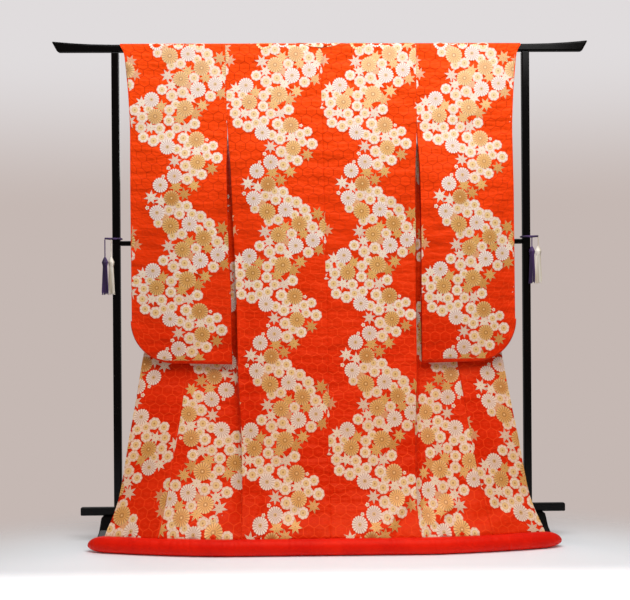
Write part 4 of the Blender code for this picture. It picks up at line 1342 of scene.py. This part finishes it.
class StandSettings(bpy.types.PropertyGroup):
    """Finish of the stand and its tassels."""
    lacquer: bpy.props.FloatVectorProperty(
        name="Lacquer", description="Colour of the lacquer", size=4, subtype="COLOR",
        default=linear("#050404"), min=0.0, max=1.0)
    purple: bpy.props.FloatVectorProperty(
        name="Purple floss", description="Colour of the dark tassels and the ties", size=4,
        subtype="COLOR", default=linear("#43245E"), min=0.0, max=1.0)
    cream: bpy.props.FloatVectorProperty(
        name="Cream floss", description="Colour of the pale tassels", size=4, subtype="COLOR",
        default=linear("#F4EDE0"), min=0.0, max=1.0)


class StageSettings(bpy.types.PropertyGroup):
    """The camera's place and the studio's light."""
    distance: bpy.props.FloatProperty(
        name="Distance", description="From the camera to the stand", default=4.0, unit="LENGTH")
    height: bpy.props.FloatProperty(
        name="Height", description="Height of the level camera", default=0.785, unit="LENGTH")
    turn: bpy.props.FloatProperty(
        name="Turn", description="How far the camera stands round to the left",
        default=math.radians(1.2), subtype="ANGLE")
    roll: bpy.props.FloatProperty(
        name="Roll", description="Tilt of the camera about its view", default=math.radians(-0.38),
        subtype="ANGLE")
    lens: bpy.props.FloatProperty(
        name="Lens", description="Focal length in millimetres", default=69.26, min=1.0)
    key: bpy.props.FloatProperty(
        name="Key light", description="Power of the soft light in front", default=20.0, unit="POWER")
    top: bpy.props.FloatProperty(
        name="Top light", description="Power of the large soft light overhead", default=72.0,
        unit="POWER")
    back: bpy.props.FloatProperty(
        name="Back light", description="Power of the soft light behind the stand", default=14.0,
        unit="POWER")


class UCHIKAKE_OT_stage(bpy.types.Operator):
    """Floor, soft studio light and camera"""
    bl_idname = "uchikake.stage"
    bl_label = "Stage"

    def execute(self, context):
        stage = context.scene.uchikake_stage
        clear_selection()
        bpy.ops.mesh.primitive_plane_add(size=FLOOR_SIZE, location=FLOOR_PLACE)
        floor = context.object
        floor.name = "floor"
        bpy.ops.object.transform_apply(location=True, rotation=False, scale=False)
        floor.data.materials.append(paper_sweep_material("pale_paper_sweep"))
        context.scene.world = studio_world("studio")
        lights = [
            # name, place, what it faces, width and power
            ("key_light", (0.6, -1.9, 2.5), (0.08, 0.0, 1.45), 1.2, stage.key),
            ("top_light", (0.15, -1.3, 3.0), (0.15, -1.2, 0.0), 2.4, stage.top),
            ("back_light", (-0.9, 2.4, 2.2), (0.0, 0.0, 0.9), 1.6, stage.back),
        ]
        for name, place, aim, size, power in lights:
            lamp = bpy.data.lights.new(name, "AREA")
            lamp.size = size
            lamp.energy = power
            light = bpy.data.objects.new(name, lamp)
            context.scene.collection.objects.link(light)
            light.location = place
            light.rotation_euler = (Vector(aim) - Vector(place)).to_track_quat("-Z", "Y").to_euler()

        lens = bpy.data.cameras.new("camera")
        lens.lens = stage.lens
        lens.sensor_width = 36.0
        camera = bpy.data.objects.new("camera", lens)
        context.scene.collection.objects.link(camera)
        aim = Vector((CAMERA_AIM_X, DEPTH_SHIFT, stage.height))
        away = Vector((-math.sin(stage.turn), -math.cos(stage.turn), 0.0)) * stage.distance
        level = Matrix.Rotation(-stage.turn, 4, "Z") @ Matrix.Rotation(math.pi / 2, 4, "X")
        camera.matrix_world = Matrix.Translation(aim + away) @ level @ Matrix.Rotation(stage.roll, 4, "Z")
        context.scene.camera = camera
        context.scene.view_settings.view_transform = "Standard"
        return {"FINISHED"}


class UCHIKAKE_OT_stand(bpy.types.Operator):
    """Lacquer the stand's posts, bars and feet"""
    bl_idname = "uchikake.stand"
    bl_label = "Lacquer stand"

    def execute(self, context):
        lacquer = lacquer_material("black_brushed_lacquer", tuple(context.scene.uchikake_stand.lacquer))
        for name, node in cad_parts.items():
            if name.startswith(("post", "foot", "top_bar", "middle_rail", "bottom_rail")):
                node.data.materials.clear()
                node.data.materials.append(lacquer)
        return {"FINISHED"}


class UCHIKAKE_OT_backs(bpy.types.Operator):
    """Hang the two body lengths' backs, from the shoulder fold to the hem roll"""
    bl_idname = "uchikake.backs"
    bl_label = "Backs"

    def execute(self, context):
        start, end = -FOLD_RUN, hem_distance(HEM - TUCK)
        width = BACK_TABLE.at(FOLD_LOW)[0]
        for side, word in SIDES:
            back = body_cloth("back_cloth_" + word, side, start, end)
            flowers = weave_flowers(
                "back_flowers_" + word, partial(body_surface, side), body_limits,
                (start, end), BACK_REPEAT[side], (side, 1), -side,
            )
            finish_cloth(
                back, flowers, ["back_" + word], (width, end - start), ["top_bar"],
                area=cloth_area(back),
            )
        return {"FINISHED"}


class UCHIKAKE_OT_fronts(bpy.types.Operator):
    """Hang the two fronts, from behind the shoulder to their spread hem"""
    bl_idname = "uchikake.fronts"
    bl_label = "Fronts"

    def execute(self, context):
        start, end = -hem_distance(HEM - TUCK), -FOLD_RUN
        for side, word in SIDES:
            front = body_cloth("front_cloth_" + word, side, start, end)
            flowers = weave_flowers(
                "front_flowers_" + word, partial(body_surface, side), body_limits,
                (start, end), FRONT_REPEAT[side], (side, 1), -side,
            )
            finish_cloth(
                front, flowers, ["front_" + word], (front_length(HEM), end - start),
                ["back_cloth_" + word], area=cloth_area(front),
            )
        return {"FINISHED"}


class UCHIKAKE_OT_overlaps(bpy.types.Operator):
    """Sew on the two overlap panels, which taper up to the collar"""
    bl_idname = "uchikake.overlaps"
    bl_label = "Overlap panels"

    def execute(self, context):
        low, top = HEM - TUCK, OVERLAP_TOP - OVERLAP_UNDER_COLLAR
        rows = spread(low, top, round((top - low) / ROW_STEP) + 1)
        for side, word in SIDES:
            points, places = [], []
            for z in rows:
                inner, outer = overlap_limits(z)
                widths = [inner + (outer - inner) * t for t in spread(0.0, 1.0, OVERLAP_COLUMNS)]
                points.append([overlap_surface(side, u, z) for u in widths])
                places.append([(u + OVERLAP_FIGURE, z) for u in widths])
            overlap = cloth_piece("overlap_cloth_" + word, points, places, side > 0, robe_silk())
            across, height = OVERLAP_REPEAT[side]
            flowers = weave_flowers(
                "overlap_flowers_" + word, partial(overlap_surface, side), overlap_limits,
                (low, top), (across, hem_distance(height)), (1, -side), side,
            )
            finish_cloth(
                overlap, flowers, ["overlap_" + word],
                (overlap_limits(HEM)[1] + OVERLAP_TURNED_IN, top - low),
                ["front_cloth_" + word], area=cloth_area(overlap),
            )
        return {"FINISHED"}


class UCHIKAKE_OT_sleeves(bpy.types.Operator):
    """Hang the two long sleeves over the bar, open at the body and the wrist"""
    bl_idname = "uchikake.sleeves"
    bl_label = "Sleeves"

    def execute(self, context):
        start = 1 - SLEEVE_CORNER / SLEEVE_WIDTH
        columns = [t for t in shares(SLEEVE_COLUMNS) if t < start]
        columns += [
            start + (1 - start) * math.sin(math.pi / 2 * i / SLEEVE_CORNER_COLUMNS)
            for i in range(SLEEVE_CORNER_COLUMNS + 1)
        ]
        falls = [1 - math.cos(math.pi / 2 * i / SLEEVE_LAYER_ROWS) for i in range(SLEEVE_LAYER_ROWS)]
        rows = [("layer", 1, f) for f in falls]
        rows += [("fold", 0, d) for d in distances(-FOLD_RUN, FOLD_RUN, SLEEVE_FOLD_STEP)]
        rows += [("layer", -1, f) for f in reversed(falls)]
        rows += [("hem", 0, a) for a in SLEEVE_HEM_ANGLES] + [("layer", 1, 0.0)]
        end = hem_distance(SLEEVE_BOTTOM + SLEEVE_BARE)
        for side, word in SIDES:
            points, places, far = [], [], FIGURE_ALONG
            for kind, layer, value in rows:
                points.append([sleeve_place(side, t, kind, layer, value) for t in columns])
                if len(points) > 1:
                    far += (Vector(points[-1][0]) - Vector(points[-2][0])).length
                places.append([(t * SLEEVE_WIDTH + SLEEVE_FIGURE, far) for t in columns])
            sleeve = cloth_piece("sleeve_cloth_" + word, points, places, side < 0, robe_silk())
            work = bmesh.new()
            work.from_mesh(sleeve.data)
            bmesh.ops.remove_doubles(work, verts=work.verts, dist=MERGE)
            work.to_mesh(sleeve.data)
            work.free()
            flowers = weave_flowers(
                "sleeve_flowers_" + word, partial(sleeve_surface, side), sleeve_limits,
                (-end, end), SLEEVE_REPEAT[side], (side, 1), -side,
            )
            finish_cloth(
                sleeve, flowers, ["sleeve_near_" + word, "sleeve_far_" + word, "sleeve_pouch_" + word],
                (sleeve_span(FOLD_LOW), far - FIGURE_ALONG), ["top_bar"], area=cloth_area(sleeve),
            )
        return {"FINISHED"}


class UCHIKAKE_OT_collar(bpy.types.Operator):
    """Sew on the collar, up one front edge, round the neck and down the other"""
    bl_idname = "uchikake.collar"
    bl_label = "Collar"

    def execute(self, context):
        heights = spread(COLLAR_END, COLLAR_STRAIGHT_TOP, COLLAR_ROWS) + [FOLD_LOW]
        over = [-FOLD_RUN + FOLD_ARC * i / 3 for i in (1, 2, 3)] + [0.0]
        over += [FOLD_FLAT + FOLD_ARC * i / 3 for i in range(4)]
        over += [NECK_DROP - COLLAR_NECK_STEP, NECK_DROP]
        widths = [COLLAR_WIDTH * c / (COLLAR_COLUMNS - 1) + COLLAR_FIGURE for c in range(COLLAR_COLUMNS)]
        rows = [("edge", -1, z) for z in heights] + [("top", -1, d) for d in over]
        rows += [("top", 1, d) for d in reversed(over[:-1])]
        rows += [("edge", 1, z) for z in reversed(heights)]
        points, places, runs, far = [], [], [], 0.0
        for kind, side, value in rows:
            row = [
                collar_top(side, value, c) if kind == "top" else collar_edge(side, c, value)
                for c in range(COLLAR_COLUMNS)
            ]
            if points:
                far += (Vector(row[0]) - Vector(points[-1][0])).length
            runs.append(far)
            points.append(row)
            places.append([(u, far) for u in widths])
        # the collar is folded double, so its brocade shows on both sides
        collar = cloth_piece("collar_cloth", points, places, False, robe_silk()[:1] * 2)
        flowers = weave_flowers(
            "collar_flowers", partial(collar_surface, points, runs), lambda s: (0.0, COLLAR_WIDTH),
            (0.0, far), COLLAR_REPEAT, (1, 1), -1,
        )
        finish_cloth(collar, flowers, ["collar"], (COLLAR_WIDTH, far), ["top_bar"])
        return {"FINISHED"}


class UCHIKAKE_OT_hem(bpy.types.Operator):
    """Lay the padded hem roll along the floor"""
    bl_idname = "uchikake.hem"
    bl_label = "Hem roll"

    def execute(self, context):
        robe = context.scene.uchikake_robe
        silk = plain_silk_material(
            "crimson_satin_hem", tuple(robe.hem), linear("#DE160A"), roughness=0.40, puckers=1.2
        )
        work = bmesh.new()
        rings = [[work.verts.new(point) for point in roll_ring(x)] for x in roll_places()]
        around = [(i, (i + 1) % ROLL_SIDES) for i in range(ROLL_SIDES)]
        for first, second in zip(rings, rings[1:]):
            for i, after in around:
                work.faces.new((first[i], first[after], second[after], second[i]))
        for ring, x in ((rings[0], -ROLL_TIP_X), (rings[-1], ROLL_TIP_X)):
            pole = work.verts.new((x, roll_y(x) + DEPTH_SHIFT, ROLL_HEIGHT - ROLL_SAG * ROLL_RADIUS))
            for i, after in around:
                work.faces.new((ring[i], ring[after], pole))
        bmesh.ops.recalc_face_normals(work, faces=work.faces)
        mesh = bpy.data.meshes.new("hem_roll")
        work.to_mesh(mesh)
        work.free()
        mesh.materials.append(silk)
        mesh.shade_smooth()
        roll = piece_from("hem_roll", mesh)
        names = ["hem_" + part + word for part in ("back_", "front_", "overlap_") for _, word in SIDES]
        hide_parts(*names)
        return {"FINISHED"}


class UCHIKAKE_OT_tassels(bpy.types.Operator):
    """Finish the tassels and their ties in silk floss"""
    bl_idname = "uchikake.tassels"
    bl_label = "Tassels"

    def execute(self, context):
        stand = context.scene.uchikake_stand
        purple = cord_material("purple_silk_floss", tuple(stand.purple), linear("#26103A"))
        cream = cord_material("cream_silk_floss", tuple(stand.cream), linear("#C9B9A0"))
        for name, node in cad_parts.items():
            if name.startswith(("tassel", "tie")):
                dark = name.startswith("tie") or name in ("tassel_near_left", "tassel_far_right")
                node.data.materials.clear()
                node.data.materials.append(purple if dark else cream)
        return {"FINISHED"}


STEPS = ("stage", "stand", "backs", "fronts", "overlaps", "sleeves", "collar", "hem", "tassels")


class UCHIKAKE_PT_panel(bpy.types.Panel):
    """Buttons for each group of the robe's and the stand's pieces"""
    bl_idname = "UCHIKAKE_PT_panel"
    bl_label = "Uchikake"
    bl_space_type = "VIEW_3D"
    bl_region_type = "UI"
    bl_category = "Uchikake"

    def draw(self, context):
        for step in STEPS:
            self.layout.operator("uchikake." + step)
        scene = context.scene
        for group in (scene.uchikake_robe, scene.uchikake_stand, scene.uchikake_stage):
            for name in group.bl_rna.properties.keys():
                if name not in ("rna_type", "name"):
                    self.layout.prop(group, name)


CLASSES = (
    RobeSettings, StandSettings, StageSettings, UCHIKAKE_OT_stage, UCHIKAKE_OT_stand,
    UCHIKAKE_OT_backs, UCHIKAKE_OT_fronts, UCHIKAKE_OT_overlaps, UCHIKAKE_OT_sleeves,
    UCHIKAKE_OT_collar, UCHIKAKE_OT_hem, UCHIKAKE_OT_tassels, UCHIKAKE_PT_panel,
)


def register():
    """Register the add-on's classes and its settings."""
    for item in CLASSES:
        bpy.utils.register_class(item)
    bpy.types.Scene.uchikake_robe = bpy.props.PointerProperty(type=RobeSettings)
    bpy.types.Scene.uchikake_stand = bpy.props.PointerProperty(type=StandSettings)
    bpy.types.Scene.uchikake_stage = bpy.props.PointerProperty(type=StageSettings)


def unregister():
    """Remove the add-on's settings and classes."""
    for name in ("uchikake_robe", "uchikake_stand", "uchikake_stage"):
        delattr(bpy.types.Scene, name)
    for item in reversed(CLASSES):
        bpy.utils.unregister_class(item)


def main():
    """Make every piece."""
    register()
    for step in STEPS:
        getattr(bpy.ops.uchikake, step)()


if __name__ == "__main__":
    main()
